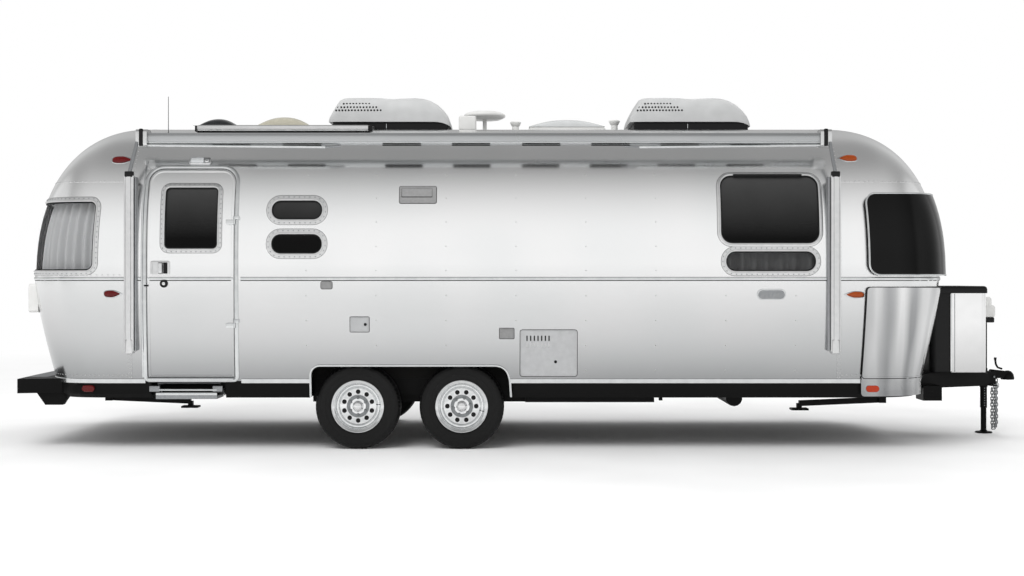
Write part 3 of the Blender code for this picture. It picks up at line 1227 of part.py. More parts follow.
def make_roof_items():
    low = ROOF_Z + PANEL["lift"]
    panel = box("panel", (PANEL["x0"], PANEL["y0"], low), (PANEL["x1"], PANEL["y1"], low + PANEL["thick"]))
    foot = PANEL_FOOT
    feet = []
    for x in (PANEL["x0"] + foot["in_x"], PANEL["x1"] - foot["in_x"] - foot["long"]):
        for y in (PANEL["y0"] + foot["in_y"], PANEL["y1"] - foot["in_y"] - foot["wide"]):
            feet.append(box("foot", (x, y, low - 0.222), (x + foot["long"], y + foot["wide"], low + 0.008)))
    panel = join(panel, feet, "UNION")
    panel = join(panel, [body_solid("clear", -GAP)], "DIFFERENCE")
    keep(panel, "solar_panel", (0.05, 0.05, 0.07), 0.3)
    for spec in DOMES:
        x0, x1 = spec["x0"], spec["x1"]
        top = ROOF_Z + spec["high"]
        half = min((x1 - x0) / 2, DOME_HALF_Y)
        foot = prism("foot", rounded(x0, x1, -half, half, 0.03, 2), "Z", SEAT_Z, SEAT_Z + DOME_FOOT)
        rings = []
        for z, shrink in ((SEAT_Z + DOME_FOOT - 0.005, 0.012), (top - 0.035, 0.016), (top - 0.012, 0.035),
                          (top, 0.08)):
            rings.append((z, rounded(x0 + shrink, x1 - shrink, -half + shrink, half - shrink, 0.05, 3)))
        keep(join(foot, [loft("dome", rings)], "UNION"), spec["name"], (spec["tone"],) * 3, 0.4)
    top = ROOF_Z + DISC_HIGH
    disc = lathe("disc", [(0.0, SEAT_Z), (0.05, SEAT_Z), (0.018, SEAT_Z + 0.02), (0.018, top - 0.080),
                          (DISC_R - 0.046, top - 0.077), (DISC_R, top - 0.048), (DISC_R, top - 0.035),
                          (DISC_R - 0.036, top - 0.012), (0.0, top)], "Z", (DISC_X, DISC_Y, 0), 20)
    keep(disc, "disc_antenna", (0.85, 0.85, 0.85), 0.5)
    low = ROOF_Z - MAST_SUNK
    mast = lathe("mast", [(0.0, low), (0.02, low), (0.02, low + 0.11), (0.004, low + 0.14),
                          (0.0025, ROOF_Z + MAST_TOP), (0.0, ROOF_Z + MAST_TOP)], "Z", (MAST_X, MAST_Y,
                                                                                        0), 8)
    keep(join(mast, [body_solid("clear", -GAP)], "DIFFERENCE"), "whip_antenna", BLACK, 0.5)


def casting_outline(grow=0.0):
    half = CASTING + grow
    return rounded(TUBE_Y - half, TUBE_Y + half, TUBE_Z - half, TUBE_Z + half, CASTING_RADIUS + grow, 3)


def make_awning():
    ends = {"rear": AWNING_X0, "front": AWNING_X1 - CASTING_LONG}
    tube = rod("tube", (AWNING_X0 + 0.03, TUBE_Y, TUBE_Z), (AWNING_X1 - 0.03, TUBE_Y, TUBE_Z), TUBE_R, 16)
    parts = []
    rafter_y = TUBE_Y - 0.03
    for x0, rafter_x in zip(ends.values(), RAFTER_TO):
        parts.append(prism("casting", casting_outline(), "X", x0, x0 + CASTING_LONG))
        parts.append(rod("rafter", (x0 + CASTING_LONG / 2, rafter_y, RAFTER_Z[0]),
                         (rafter_x, rafter_y, RAFTER_Z[1]),
                         RAFTER_R, 8))
    keep(join(tube, parts, "UNION"), "awning_roller", (0.75, 0.75, 0.75), 0.4, 1.0)
    for where, x0 in ends.items():
        xc = x0 + CASTING_LONG / 2 + ARM_SHIFT[where]
        xc += -0.045 if where == "rear" else 0.045
        wall_y = -SIDE_Y - GAP
        out_y = -SIDE_Y - ARM_OUT
        half = ARM_HALF
        main = box("main", (xc - half, out_y, ARM_FOOT_Z), (xc + half, wall_y, ARM_TOP_Z))
        cap = box("cap", (xc - half + 0.006, out_y - 0.004, ARM_TOP_Z - 0.01),
                  (xc + half - 0.006, wall_y, ARM_TOP_Z + 0.035))
        toe = xc + ARM_TOE[where]
        slant = beam("slant", (xc, (out_y + wall_y) / 2, ARM_TOP_Z + 0.025), (toe, TUBE_Y, TUBE_Z), 0.03,
                     0.02,
                     (0, 1, 0))
        foot = box("foot", (xc - 0.03, wall_y - 0.01, ARM_FOOT_Z + 0.01),
                   (xc + 0.03, wall_y + 0.09, ARM_FOOT_Z + 0.09))
        foot = join(foot, [body_solid("clear", -GAP)], "DIFFERENCE")
        arm = join(main, [cap, slant, foot], "UNION")
        arm = join(arm, [prism("hole", casting_outline(GAP), "X", -FAR, FAR)], "DIFFERENCE")
        keep(arm, "awning_arm_" + where, (0.8, 0.8, 0.8), 0.3, 1.0)


def make_step():
    py, pz = STEP_PIVOT
    ty = py + STEP_ARM * math.cos(STEP_REST)
    tz = pz + STEP_ARM * math.sin(STEP_REST)
    x0 = STEP_X0 + STEP_SIDE
    x1 = STEP_END_X - STEP_SIDE
    side = (0, -math.sin(STEP_REST), math.cos(STEP_REST))
    arms = rod("cross", (x0, py, pz), (x1, py, pz), STEP_PIVOT_R, 10)
    parts = []
    for xa in (x0 + STEP_BAR / 2, x1 - STEP_BAR / 2):
        parts.append(beam("arm", (xa, py - 0.012, pz + 0.008), (xa, ty + 0.012, tz - 0.008), STEP_BAR,
                          STEP_BAR_H, side))
    keep(join(arms, parts, "UNION"), "step_arms", (0.2, 0.2, 0.2), 0.5)
    hang(bpy.data.objects["step_arms"], (0, py, pz))
    inner0 = x0 + STEP_BAR + 0.006
    inner1 = x1 - STEP_BAR - 0.006
    low = tz - 0.004 - STEP_THICK
    tread = box("tread", (inner0, ty - STEP_DEEP, low), (inner1, ty + 0.012, tz - 0.004))
    nose = box("nose", (inner0, ty - STEP_DEEP - 0.006, low),
               (inner1, ty - STEP_DEEP + 0.010, low + STEP_NOSE))
    pin = rod("pin", (inner0 - 0.006 + GAP, ty, tz), (inner1 + 0.006 - GAP, ty, tz), STEP_PIN_R, 10)
    keep(join(tread, [nose, pin], "UNION"), "step_tread", (0.5, 0.5, 0.5), 0.5)
    hang(bpy.data.objects["step_tread"], (0, ty, tz))


def make_legs():
    foot_z = LEG_Z - LEG_FOOT_LOW
    for leg in LEGS:
        y = leg["y"]
        x = leg["x"]
        tip = x + leg["run"] * LEG_LONG
        bar = beam("bar", (x, y, LEG_Z), (tip, y, LEG_Z - LEG_SAG), LEG_W, LEG_H)
        eye = rod("eye", (x, y - LEG_EYE, LEG_Z), (x, y + LEG_EYE, LEG_Z), LEG_EYE_R, 12)
        foot = box("foot", (tip - LEG_FOOT, y - LEG_FOOT_Y, foot_z),
                   (tip + LEG_FOOT, y + LEG_FOOT_Y, foot_z + LEG_FOOT_THICK))
        web = box("web", (tip - LEG_WEB, y - LEG_WEB, foot_z + 0.01),
                  (tip + LEG_WEB, y + LEG_WEB, LEG_Z - LEG_SAG))
        keep(join(bar, [eye, foot, web], "UNION"), leg["name"], BLACK, 0.6)
        hang(bpy.data.objects[leg["name"]], (x, y, LEG_Z))


def build():
    start_scene()
    make_shell()
    make_glass()
    make_door()
    make_floor()
    make_underframe()
    make_hitch()
    make_coupler()
    make_jack()
    make_gas_cover()
    make_bumper()
    make_wheels()
    make_axles()
    make_guards()
    make_stone_guards()
    make_air_units()
    make_roof_items()
    make_awning()
    make_step()
    make_legs()


build()
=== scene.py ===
"""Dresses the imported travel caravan: fine riveted skin, glazing, lamps, wheels, roof and tongue fittings.

Lengths in metres. +X is the towing end, -Y the door side, +Z up, the ground is z = 0.
"""
import math

import bmesh
import bpy
from mathutils import Matrix, Vector


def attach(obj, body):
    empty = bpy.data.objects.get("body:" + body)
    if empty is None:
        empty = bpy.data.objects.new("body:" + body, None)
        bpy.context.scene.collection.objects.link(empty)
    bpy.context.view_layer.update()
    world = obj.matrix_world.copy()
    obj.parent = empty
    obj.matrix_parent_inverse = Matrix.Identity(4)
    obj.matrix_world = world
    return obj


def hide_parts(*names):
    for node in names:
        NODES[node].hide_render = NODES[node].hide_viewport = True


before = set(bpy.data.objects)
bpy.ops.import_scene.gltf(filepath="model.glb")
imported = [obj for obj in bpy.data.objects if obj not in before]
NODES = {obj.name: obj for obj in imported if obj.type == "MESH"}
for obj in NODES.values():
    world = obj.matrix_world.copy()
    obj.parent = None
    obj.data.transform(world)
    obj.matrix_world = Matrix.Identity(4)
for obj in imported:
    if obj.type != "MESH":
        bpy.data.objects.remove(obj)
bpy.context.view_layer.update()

# Body form, as in the frame: a section that stays the same between two rounded ends.
SIDE_Y = 1.289
BELT_Z = 1.374
FOOT_Z = 0.5533
ROOF_Z = 2.666
WALL_TOP_Z = 2.37
CROWN_H = (ROOF_Z - BELT_Z) / 0.992
CROWN_POWER = 3.2
TUCK_IN = 0.045
WALL = 0.045
X0, X1 = -3.30, 2.40
ENDS = {
    -1: {"start": 3.30, "depth": 0.952, "low": 3.96, "top": 3.98, "crown": 2.18, "tuck": 0.183, "bend": 1.32},
    1: {"start": 2.40, "depth": 0.982, "low": 4.1, "top": 4.0, "crown": 2.3, "tuck": 0.175, "bend": 1.05},
}
MEASURE_Z = 1.7

# Openings: along from, along to, height from, height to, corner radius.
WINDOW_MAIN = (1.446, 2.242, 1.658, 2.212, 0.092)
WINDOW_LOW = (1.486, 2.212, 1.435, 1.5985, 0.078)
OVAL_UPPER = (-2.161, -1.750, 1.849, 2.008, 0.075)
OVAL_LOWER = (-2.161, -1.750, 1.576, 1.737, 0.075)
DOOR = (-3.155, -2.460, 0.580, 2.262, 0.11, 0.015)
DOOR_GLASS = (-3.019, -2.590, 1.615, 2.114, 0.04)
DOOR_GAP = 0.005
WELL_X = (-1.842, -0.222)
ARCH_Z = 0.670

# Wheels
WHEELS = [("rear", -1.476, 0), ("front", -0.635, 18)]  # name, place, degrees rolled
WHEEL_Y = 1.105
TYRE_R = 0.343


def linear(code):
    """A hex sRGB colour as Blender's linear values."""
    parts = [int(code[i:i + 2], 16) / 255 for i in (1, 3, 5)]
    return (*(c / 12.92 if c <= 0.04045 else ((c + 0.055) / 1.055) ** 2.4 for c in parts), 1.0)


# Finishes

def add(tree, kind, links=(), **settings):
    """Add a node. Settings are its own properties or its sockets' values; links are (socket, node, output)."""
    made = tree.nodes.new(kind)
    for key, value in settings.items():
        if hasattr(made, key):
            setattr(made, key, value)
        else:
            made.inputs[key.replace("_", " ")].default_value = value
    for socket, source, output in links:
        tree.links.new(source.outputs[output], made.inputs[socket])
    return made


def multiplied(tree, first, second):
    """Two colours multiplied; each is a node and the name of its output."""
    made = add(tree, "ShaderNodeMix", [(6, *first), (7, *second)], data_type="RGBA", blend_type="MULTIPLY", Factor=1.0)
    return made, 2


def finish(name, dark, light, grain, rough, bump=0.0, stretch=(1, 1, 1), detail=4.0, coat=0.0, shade=None, **shader):
    """A mottled or grained surface. Grain is the pattern's size and bump its depth, both in mm; rough is a range.

    Shade is (low z, high z, colour low, colour high): painted shade, the colour darker or lighter with height.
    """
    mat = bpy.data.materials.new(name)
    mat.use_nodes = True
    tree = mat.node_tree
    body = tree.nodes["Principled BSDF"]
    for key, value in shader.items():
        body.inputs[key.replace("_", " ")].default_value = value
    if coat:
        body.inputs["Coat Weight"].default_value = coat
        body.inputs["Coat Roughness"].default_value = 0.08
    place = add(tree, "ShaderNodeTexCoord")
    turned_to = add(tree, "ShaderNodeMapping", [("Vector", place, "Object")], Scale=stretch)
    grains = add(tree, "ShaderNodeTexNoise", [("Vector", turned_to, "Vector")], Scale=1000 / grain, Detail=detail)
    ramp = add(tree, "ShaderNodeValToRGB", [("Fac", grains, "Fac")])
    ramp.color_ramp.elements[0].position = 0.3
    ramp.color_ramp.elements[0].color = linear(dark)
    ramp.color_ramp.elements[1].position = 0.7
    ramp.color_ramp.elements[1].color = linear(light)
    colour, out = ramp, "Color"
    # Painted shade and light: the colour is multiplied by a tone that changes with height.
    if shade:
        low, high, low_colour, high_colour = shade
        split = add(tree, "ShaderNodeSeparateXYZ", [("Vector", place, "Object")])
        level = add(tree, "ShaderNodeMapRange", [("Value", split, "Z")], From_Min=low, From_Max=high)
        tone = add(tree, "ShaderNodeValToRGB", [("Fac", level, "Result")])
        tone.color_ramp.elements[0].color = linear(low_colour)
        tone.color_ramp.elements[1].color = linear(high_colour)
        colour, out = multiplied(tree, (ramp, "Color"), (tone, "Color"))
    tree.links.new(colour.outputs[out], body.inputs["Base Color"])
    wear = add(tree, "ShaderNodeMapRange", [("Value", grains, "Fac")], From_Min=0.3, From_Max=0.7,
               To_Min=rough[0], To_Max=rough[1])
    tree.links.new(wear.outputs["Result"], body.inputs["Roughness"])
    if bump:
        relief = add(tree, "ShaderNodeBump", [("Height", grains, "Fac")], Strength=1.0, Distance=bump / 1000)
        tree.links.new(relief.outputs["Normal"], body.inputs["Normal"])
    return mat


# Rolled aluminium sheet under clear lacquer: soft mirror, slow waves a hand wide from the stretched skins.
# Its colour darkens towards the foot: painted shade for the shaded ground that the lower walls reflect.
SKIN = finish("lacquered_aluminium_sheet", "#f1f2f2", "#f6f6f6", 520, (0.19, 0.23), bump=0.30, detail=0.0,
              shade=(0.5, 1.5, "#9a9b9c", "#ffffff"), Metallic=1.0)
# Extruded aluminium, bright anodised: crisp narrow highlights.
TRIM = finish("bright_anodised_aluminium", "#c9cbcc", "#d6d8d8", 60, (0.14, 0.20), Metallic=1.0)
# Cast window frame, satin anodised: pale and even, a little grain.
FRAME = finish("satin_anodised_aluminium", "#d2d3d3", "#dcdcdc", 40, (0.30, 0.36), Metallic=1.0)
# Domed rivet heads, left dull by the lacquer, drawn a little wide so that the rows show.
# Their darker grey is painted shade for the small shadows round each head.
RIVET = finish("dull_rivet_heads", "#a1a3a5", "#b2b4b6", 12, (0.34, 0.42), Metallic=1.0)
# Painted aluminium of the service doors: flatter and greyer than the skin.
DOORS = finish("grey_painted_aluminium", "#b4b5b6", "#c0c1c2", 60, (0.34, 0.40), Metallic=0.85)
# Stainless sheet on the front corners, polished; darker lower down as painted shade.
# Its long upright light and dark streaks are painted reflections.
STONE_SHEET = finish("polished_stainless_sheet", "#aeafb0", "#f2f2f2", 120, (0.12, 0.22),
                     stretch=(1, 1, 0.03), detail=1.0, shade=(0.45, 1.35, "#a8a9aa", "#ffffff"), Metallic=1.0)
# Mirror-polished stainless of the bottle cover, darker towards its foot as painted shade.
COVER_SHEET = finish("mirror_polished_stainless", "#f2f2f2", "#f5f5f5", 90, (0.13, 0.15), detail=0.0,
                     shade=(0.5, 1.0, "#d2d2d2", "#ffffff"), Metallic=1.0)
# Machined and polished wheel alloy: bright, with slight wear.
ALLOY = finish("polished_wheel_alloy", "#d4d6d7", "#e4e5e5", 26, (0.06, 0.11), Metallic=1.0)
# Chromed zinc casting: mirror with faint haze.
CHROME = finish("chromed_zinc", "#d2d3d4", "#dddddd", 30, (0.05, 0.10), Metallic=1.0)
# Hot-dip galvanised steel: spangles a few mm wide.
ZINC = finish("galvanised_steel", "#777a7c", "#989b9c", 6, (0.32, 0.48), bump=0.03, Metallic=1.0)
# Mill-finish aluminium plate on the bumper lid and step: dull grey.
PLATE = finish("mill_finish_aluminium", "#8d8f91", "#a5a7a9", 9, (0.38, 0.50), bump=0.03, Metallic=1.0)
# Black powder coat on steel: fine orange peel, dust dulls the gloss in patches.
COAT = finish("black_powder_coat", "#040404", "#090909", 7, (0.36, 0.52), bump=0.04, Specular_IOR_Level=0.12)
# Moulded black ABS: even fine texture. It also colours black backings that stand as painted shade behind slots and
# holes.
BLACK = finish("moulded_black_abs_and_painted_shade", "#0a0a0b", "#131314", 12, (0.34, 0.46), bump=0.01, Specular_IOR_Level=0.25)
# Moulded white ABS: smooth, faintly warm.
WHITE = finish("moulded_white_abs", "#dcdcda", "#e2e2e0", 90, (0.32, 0.38), detail=1.0)
# Vacuum-formed shroud of the air conditioners: pale grey, weathered a little matt.
SHROUD = finish("weathered_grey_abs", "#c0c1c1", "#c8c9c9", 120, (0.34, 0.40), detail=1.0)
# Grey ABS of small service fittings.
GREY = finish("moulded_grey_abs", "#848484", "#8e8e8e", 20, (0.38, 0.48), bump=0.01)
# Grey painted aluminium of the awning's cover.
AWNING = finish("painted_aluminium_cover", "#b3b5b6", "#babcbd", 500, (0.27, 0.30), detail=0.0, Metallic=0.85)
# Natural rubber seal: dull, nearly black. It also colours dark strips that stand as painted shadow at gaps and under
# mouldings.
SEAL = finish("rubber_seal_and_painted_shadow", "#0e0e0f", "#1a1b1b", 5, (0.6, 0.75), bump=0.03, Specular_IOR_Level=0.25)
# Tyre rubber: dull black, browner and duller where dust lies.
RUBBER = finish("tyre_rubber", "#080808", "#121212", 14, (0.42, 0.56), bump=0.05, Specular_IOR_Level=0.22)
# Smoked polycarbonate dome: dark and glossy.
SMOKE = finish("smoked_polycarbonate", "#1a1b1d", "#26282a", 20, (0.10, 0.18))
# Acrylic domes: one sun-yellowed to a warm grey, one clear and cool.
CREAM = finish("opal_acrylic", "#aba797", "#b6b2a2", 90, (0.22, 0.30))
OPAL = finish("clear_opal_acrylic", "#c3c5c5", "#cfd1d1", 90, (0.18, 0.26))
# Dark tinted acrylic of the window guard: near-black, glossy.
TINT = finish("dark_tinted_acrylic", "#050505", "#080808", 300, (0.05, 0.09), Specular_IOR_Level=0.16)
# Solar cells under glass: deep blue-black.
CELLS = finish("solar_cells_under_glass", "#0b0d14", "#141722", 60, (0.08, 0.14), coat=0.6)
# Floor board, near-black and dull: painted shade for the wheel wells, where it shows in the shade under the body.
BOARD = finish("floor_board_painted_shade", "#0d0c0b", "#171513", 30, (0.6, 0.75), bump=0.1, Specular_IOR_Level=0.2)
# Lamp lenses, clear-coloured acrylic over a dark reflector: deep when unlit.
RED = finish("red_lens_acrylic", "#4c0607", "#600a0c", 5, (0.10, 0.2), Specular_IOR_Level=0.3)
AMBER = finish("amber_lens_acrylic", "#8c350a", "#a24a14", 5, (0.10, 0.2), Specular_IOR_Level=0.3)
ORANGE = finish("orange_reflector_acrylic", "#a52c0c", "#b63813", 3, (0.10, 0.2), Specular_IOR_Level=0.3)
# Clear acrylic of the porch lamp.
CLEAR = finish("clear_lens_acrylic", "#b9bcbe", "#d9dbdc", 5, (0.06, 0.14), coat=0.5)
# Tinted safety glass: nearly black and glossy; the paler panes let the curtains behind them show.
# The dark panes are lighter towards the top: a painted reflection.
GLASS = finish("dark_tinted_glass", "#3e3e3e", "#444444", 300, (0.03, 0.06), shade=(1.70, 2.18, "#080808", "#ffffff"),
               Alpha=0.97, Specular_IOR_Level=0.10)
GLASS_MID = finish("grey_tinted_glass", "#0b0b0c", "#101112", 300, (0.03, 0.06), Alpha=0.42, Specular_IOR_Level=0.3)
GLASS_PALE = finish("light_grey_glass", "#2b2d2f", "#34373a", 300, (0.03, 0.06), Alpha=0.14, Specular_IOR_Level=0.4)


def curtain_cloth():
    """Woven polyester curtain: 1.2 mm threads, drawn at 6 mm so that the weave shows."""
    mat = finish("woven_pale_curtain", "#cccdce", "#dadbdc", 6, (0.8, 0.95), bump=0.3, Sheen_Weight=0.3)
    tree = mat.node_tree
    place = add(tree, "ShaderNodeTexCoord")
    weave = add(tree, "ShaderNodeTexWave", [("Vector", place, "Object")], Scale=160.0, bands_direction="Z")
    relief = add(tree, "ShaderNodeBump", [("Height", weave, "Fac")], Strength=0.5, Distance=0.0006)
    tree.links.new(relief.outputs["Normal"], tree.nodes["Principled BSDF"].inputs["Normal"])
    return mat


CURTAIN = curtain_cloth()


# Surfaces of the body

def half_width(z):
    if z <= BELT_Z:
        share = (BELT_Z - z) / (BELT_Z - FOOT_Z)
        return SIDE_Y - TUCK_IN * min(share, 1.2) ** 2
    share = min((z - BELT_Z) / CROWN_H, 0.9999)
    return SIDE_Y * (1 - share ** CROWN_POWER) ** (1 / CROWN_POWER)


def end_depth(z, end):
    form = ENDS[end]
    if z <= BELT_Z:
        share = (BELT_Z - z) / (BELT_Z - FOOT_Z)
        return form["depth"] - form["tuck"] * share ** form["bend"]
    share = min((z - BELT_Z) / CROWN_H, 0.9999)
    return form["depth"] * (1 - share ** form["crown"]) ** (1 / form["crown"])


def plan_power(z, end):
    form = ENDS[end]
    return form["low"] + (form["top"] - form["low"]) * max((z - BELT_Z) / CROWN_H, 0.0)


def swell(x, y, z):
    """1 on the skin, less inside: its slope gives the skin's true direction."""
    end = 1 if x > 0 else -1
    power = plan_power(z, end)
    across = abs(y) / half_width(z)
    along = max(end * x - ENDS[end]["start"], 0.0) / end_depth(z, end)
    return (across ** power + along ** power) ** (1 / power)


def outward(point, nudge=0.0):
    x, y, z = point
    z += nudge
    d = 0.0008
    slope = Vector((swell(x + d, y, z) - swell(x - d, y, z),
                    swell(x, y + d, z) - swell(x, y - d, z),
                    swell(x, y, z + d) - swell(x, y, z - d)))
    return slope.normalized() if slope.length > 1e-9 else Vector((0, 0, 1))


def lift(point, out, nudge=0.0):
    return point + outward(point, nudge) * out if out else point


def end_point(end, t, z):
    """A point of an end: t from -1 at the door side to 1 at the street side, evenly spread."""
    turn = (1 - math.cos(math.pi * abs(t))) / 4 * math.pi
    power = plan_power(z, end)
    y = math.copysign(half_width(z) * math.sin(turn) ** (2 / power), t)
    x = end * (ENDS[end]["start"] + end_depth(z, end) * max(math.cos(turn), 0.0) ** (2 / power))
    return Vector((x, y, z))


def measure_end(end):
    """Run along the skin from the middle of an end, against t."""
    rows = [(0.0, 0.0)]
    last = end_point(end, 0, MEASURE_Z)
    for i in range(1, 241):
        point = end_point(end, i / 240, MEASURE_Z)
        rows.append((rows[-1][0] + (point - last).length, i / 240))
        last = point
    return rows


RUNS = {end: measure_end(end) for end in ENDS}
RUN = {end: RUNS[end][-1][0] for end in ENDS}


def t_of(end, run):
    far = min(abs(run), RUN[end])
    for (a, ta), (b, tb) in zip(RUNS[end], RUNS[end][1:]):
        if far <= b:
            return math.copysign(ta + (tb - ta) * (far - a) / (b - a), run)
    return math.copysign(1.0, run)


def run_at(end, x=None, y=None):
    """Run of the place where the skin passes a station along or across."""
    for run, t in RUNS[end]:
        point = end_point(end, t, MEASURE_Z)
        if (y is not None and abs(point.y) >= y) or (x is not None and abs(point.x) <= abs(x)):
            return run
    return RUN[end]


def on_side(side):
    def place(x, z, out=0.0, nudge=0.0):
        return lift(Vector((x, side * half_width(z), z)), out, nudge)
    return place


def on_end(end):
    def place(run, z, out=0.0, nudge=0.0):
        past = abs(run) - RUN[end]
        if past > 0:
            x = end * (ENDS[end]["start"] - past)
            return lift(Vector((x, math.copysign(half_width(z), run), z)), out, nudge)
        return lift(end_point(end, t_of(end, run), z), out, nudge)
    return place


# Making pieces

def lay_down():
    """Deselect everything, so that an operator acts on the new piece alone."""
    if bpy.context.object and bpy.context.object.mode != "OBJECT":
        bpy.ops.object.mode_set(mode="OBJECT")
    bpy.ops.object.select_all(action="DESELECT")


def in_hand():
    """Leave edit mode and give back the piece that was worked on."""
    if bpy.context.object.mode != "OBJECT":
        bpy.ops.object.mode_set(mode="OBJECT")
    return bpy.context.object


def take_up(piece):
    lay_down()
    bpy.context.view_layer.objects.active = piece
    piece.select_set(True)


def pick(test, kind="FACE"):
    """In edit mode, select the faces, edges or points whose middle (and direction) pass a test."""
    mesh = bpy.context.edit_object.data
    bpy.ops.mesh.select_mode(type=kind)
    bpy.ops.mesh.select_all(action="DESELECT")
    bm = bmesh.from_edit_mesh(mesh)
    if kind == "FACE":
        for face in bm.faces:
            face.select = bool(test(face.calc_center_median(), face.normal))
    elif kind == "EDGE":
        for edge in bm.edges:
            a, b = (v.co for v in edge.verts)
            edge.select = bool(test((a + b) / 2, (b - a).normalized()))
    else:
        for vert in bm.verts:
            vert.select = bool(test(vert.co, vert.normal))
    bm.select_flush_mode()
    bmesh.update_edit_mesh(mesh)


def settle(piece, name, mat, body="caravan", replaces=(), angle=35):
    """Name a piece, put its place in its mesh, smooth it, and let it ride on its body."""
    take_up(piece)
    for step in list(piece.modifiers):
        bpy.ops.object.modifier_apply(modifier=step.name)
    bpy.ops.object.transform_apply(location=True, rotation=True, scale=True)
    if angle:
        bpy.ops.object.shade_smooth_by_angle(angle=math.radians(angle))
    piece.name = name
    piece.data.name = name
    piece.data.materials.clear()
    piece.data.materials.append(mat)
    if replaces:
        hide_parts(*([replaces] if isinstance(replaces, str) else replaces))
    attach(piece, body)
    lay_down()
    return piece


def upright(p, d):
    return abs(d.z) > 0.9


def lengthwise(p, d):
    return abs(d.x) > 0.9


def block(low, high, soft=0.0, steps=3, test=lambda p, d: True):
    """A block cut to its corners, with its edges eased, left in edit mode for more work."""
    lay_down()
    middle = [(a + b) / 2 for a, b in zip(low, high)]
    size = [b - a for a, b in zip(low, high)]
    bpy.ops.mesh.primitive_cube_add(size=1, location=middle, scale=size)
    bpy.ops.object.transform_apply(location=True, rotation=False, scale=True)
    bpy.ops.object.mode_set(mode="EDIT")
    if soft:
        pick(test, "EDGE")
        bpy.ops.mesh.bevel(offset=soft, segments=steps, profile=0.5, affect="EDGES")


def extrude(*move):
    bpy.ops.mesh.extrude_region_move(TRANSFORM_OT_translate={"value": move})


def boxes(name, mat, spans, soft, steps, body="caravan"):
    """Blocks with eased edges, each from a low to a high corner, as one piece."""
    parts = []
    for low, high in spans:
        block(low, high, soft, steps)
        parts.append(in_hand())
    return settle(merge(parts) if len(parts) > 1 else parts[0], name, mat, body)


def soften(piece, width, angle):
    """A live bevel on the edges sharper than an angle."""
    step = piece.modifiers.new("eased_edges", "BEVEL")
    step.width = width
    step.segments = 2
    step.limit_method = "ANGLE"
    step.angle_limit = math.radians(angle)


TURN = {"Z": (0, 0, 0), "Y": (-math.pi / 2, 0, 0), "-Y": (math.pi / 2, 0, 0)}


def turned(profile, axis, centre, steps=32, closed=False):
    """A disc or hoop drawn out ring by ring along its axis; the profile is (radius, height) in turn."""
    lay_down()
    radius, height = profile[0]
    bpy.ops.mesh.primitive_circle_add(vertices=steps, radius=radius, location=(0, 0, height),
                                      fill_type="NOTHING" if closed else "NGON")
    bpy.ops.object.transform_apply(location=True, rotation=False, scale=False)
    bpy.ops.object.mode_set(mode="EDIT")
    bpy.ops.mesh.select_all(action="SELECT")
    ring = profile[1:] + profile[:1] if closed else profile[1:]
    for next_radius, next_height in ring:
        if closed:
            bpy.ops.mesh.extrude_edges_move(TRANSFORM_OT_translate={"value": (0, 0, next_height - height)})
        else:
            extrude(0, 0, next_height - height)
        grow = next_radius / radius
        bpy.ops.transform.resize(value=(grow, grow, 1), center_override=(0, 0, next_height))
        radius, height = next_radius, next_height
    bpy.ops.mesh.select_all(action="SELECT")
    if closed:
        bpy.ops.mesh.remove_doubles(threshold=0.00002)
    bpy.ops.mesh.normals_make_consistent(inside=False)
    piece = in_hand()
    piece.rotation_euler = TURN[axis]
    piece.location = centre
    bpy.ops.object.transform_apply(location=True, rotation=True, scale=True)
    return piece


def lathe(name, mat, profile, axis, centre, steps, body="caravan", replaces=()):
    return settle(turned(profile, axis, centre, steps), name, mat, body, replaces)


def rod(name, mat, points, radius, sides, body="caravan"):
    """A bent rod: a curve drawn through its points, given a round section and made a mesh."""
    lay_down()
    curve = bpy.data.curves.new("rod", "CURVE")
    curve.dimensions = "3D"
    curve.bevel_depth = radius
    curve.bevel_resolution = sides // 4
    curve.use_fill_caps = True
    spline = curve.splines.new("POLY")
    spline.points.add(len(points) - 1)
    for dot, point in zip(spline.points, points):
        dot.co = (*point, 1)
    piece = bpy.data.objects.new("rod", curve)
    bpy.context.collection.objects.link(piece)
    take_up(piece)
    bpy.ops.object.convert(target="MESH")
    return settle(bpy.context.object, name, mat, body)


def merge(pieces):
    lay_down()
    for piece in pieces:
        piece.select_set(True)
    bpy.context.view_layer.objects.active = pieces[0]
    bpy.ops.object.join()
    return bpy.context.object


def copy_to(piece, move=(0, 0, 0), spin=None):
    """A copy with its own mesh, moved or turned in its mesh."""
    twin = bpy.data.objects.new(piece.name, piece.data.copy())
    bpy.context.collection.objects.link(twin)
    twin.data.transform(Matrix.Translation(move) @ (spin or Matrix.Identity(4)))
    return twin


def as_object(bm):
    mesh = bpy.data.meshes.new("piece")
    bm.to_mesh(mesh)
    bm.free()
    piece = bpy.data.objects.new("piece", mesh)
    bpy.context.collection.objects.link(piece)
    return piece


def from_mesh(bm):
    """A new object from a closed mesh, facing outwards."""
    bmesh.ops.recalc_face_normals(bm, faces=bm.faces)
    if bm.calc_volume(signed=True) < 0:
        bmesh.ops.reverse_faces(bm, faces=bm.faces)
    return as_object(bm)


def true_shading(piece):
    """Give a skin the exact direction of the body form at each corner, so cuts leave no shadow in the metal."""
    mesh = piece.data
    mesh.shade_smooth()
    found = []
    for face in mesh.polygons:
        for i in face.vertices:
            point = mesh.vertices[i].co
            nudge = max(min(face.center.z - point.z, 0.002), -0.002)
            true = outward(point, nudge)
            match = true.dot(face.normal)
            found.append(true if match > 0.75 else -true if match < -0.75 else face.normal.copy())
    mesh.normals_split_custom_set(found)
    return piece


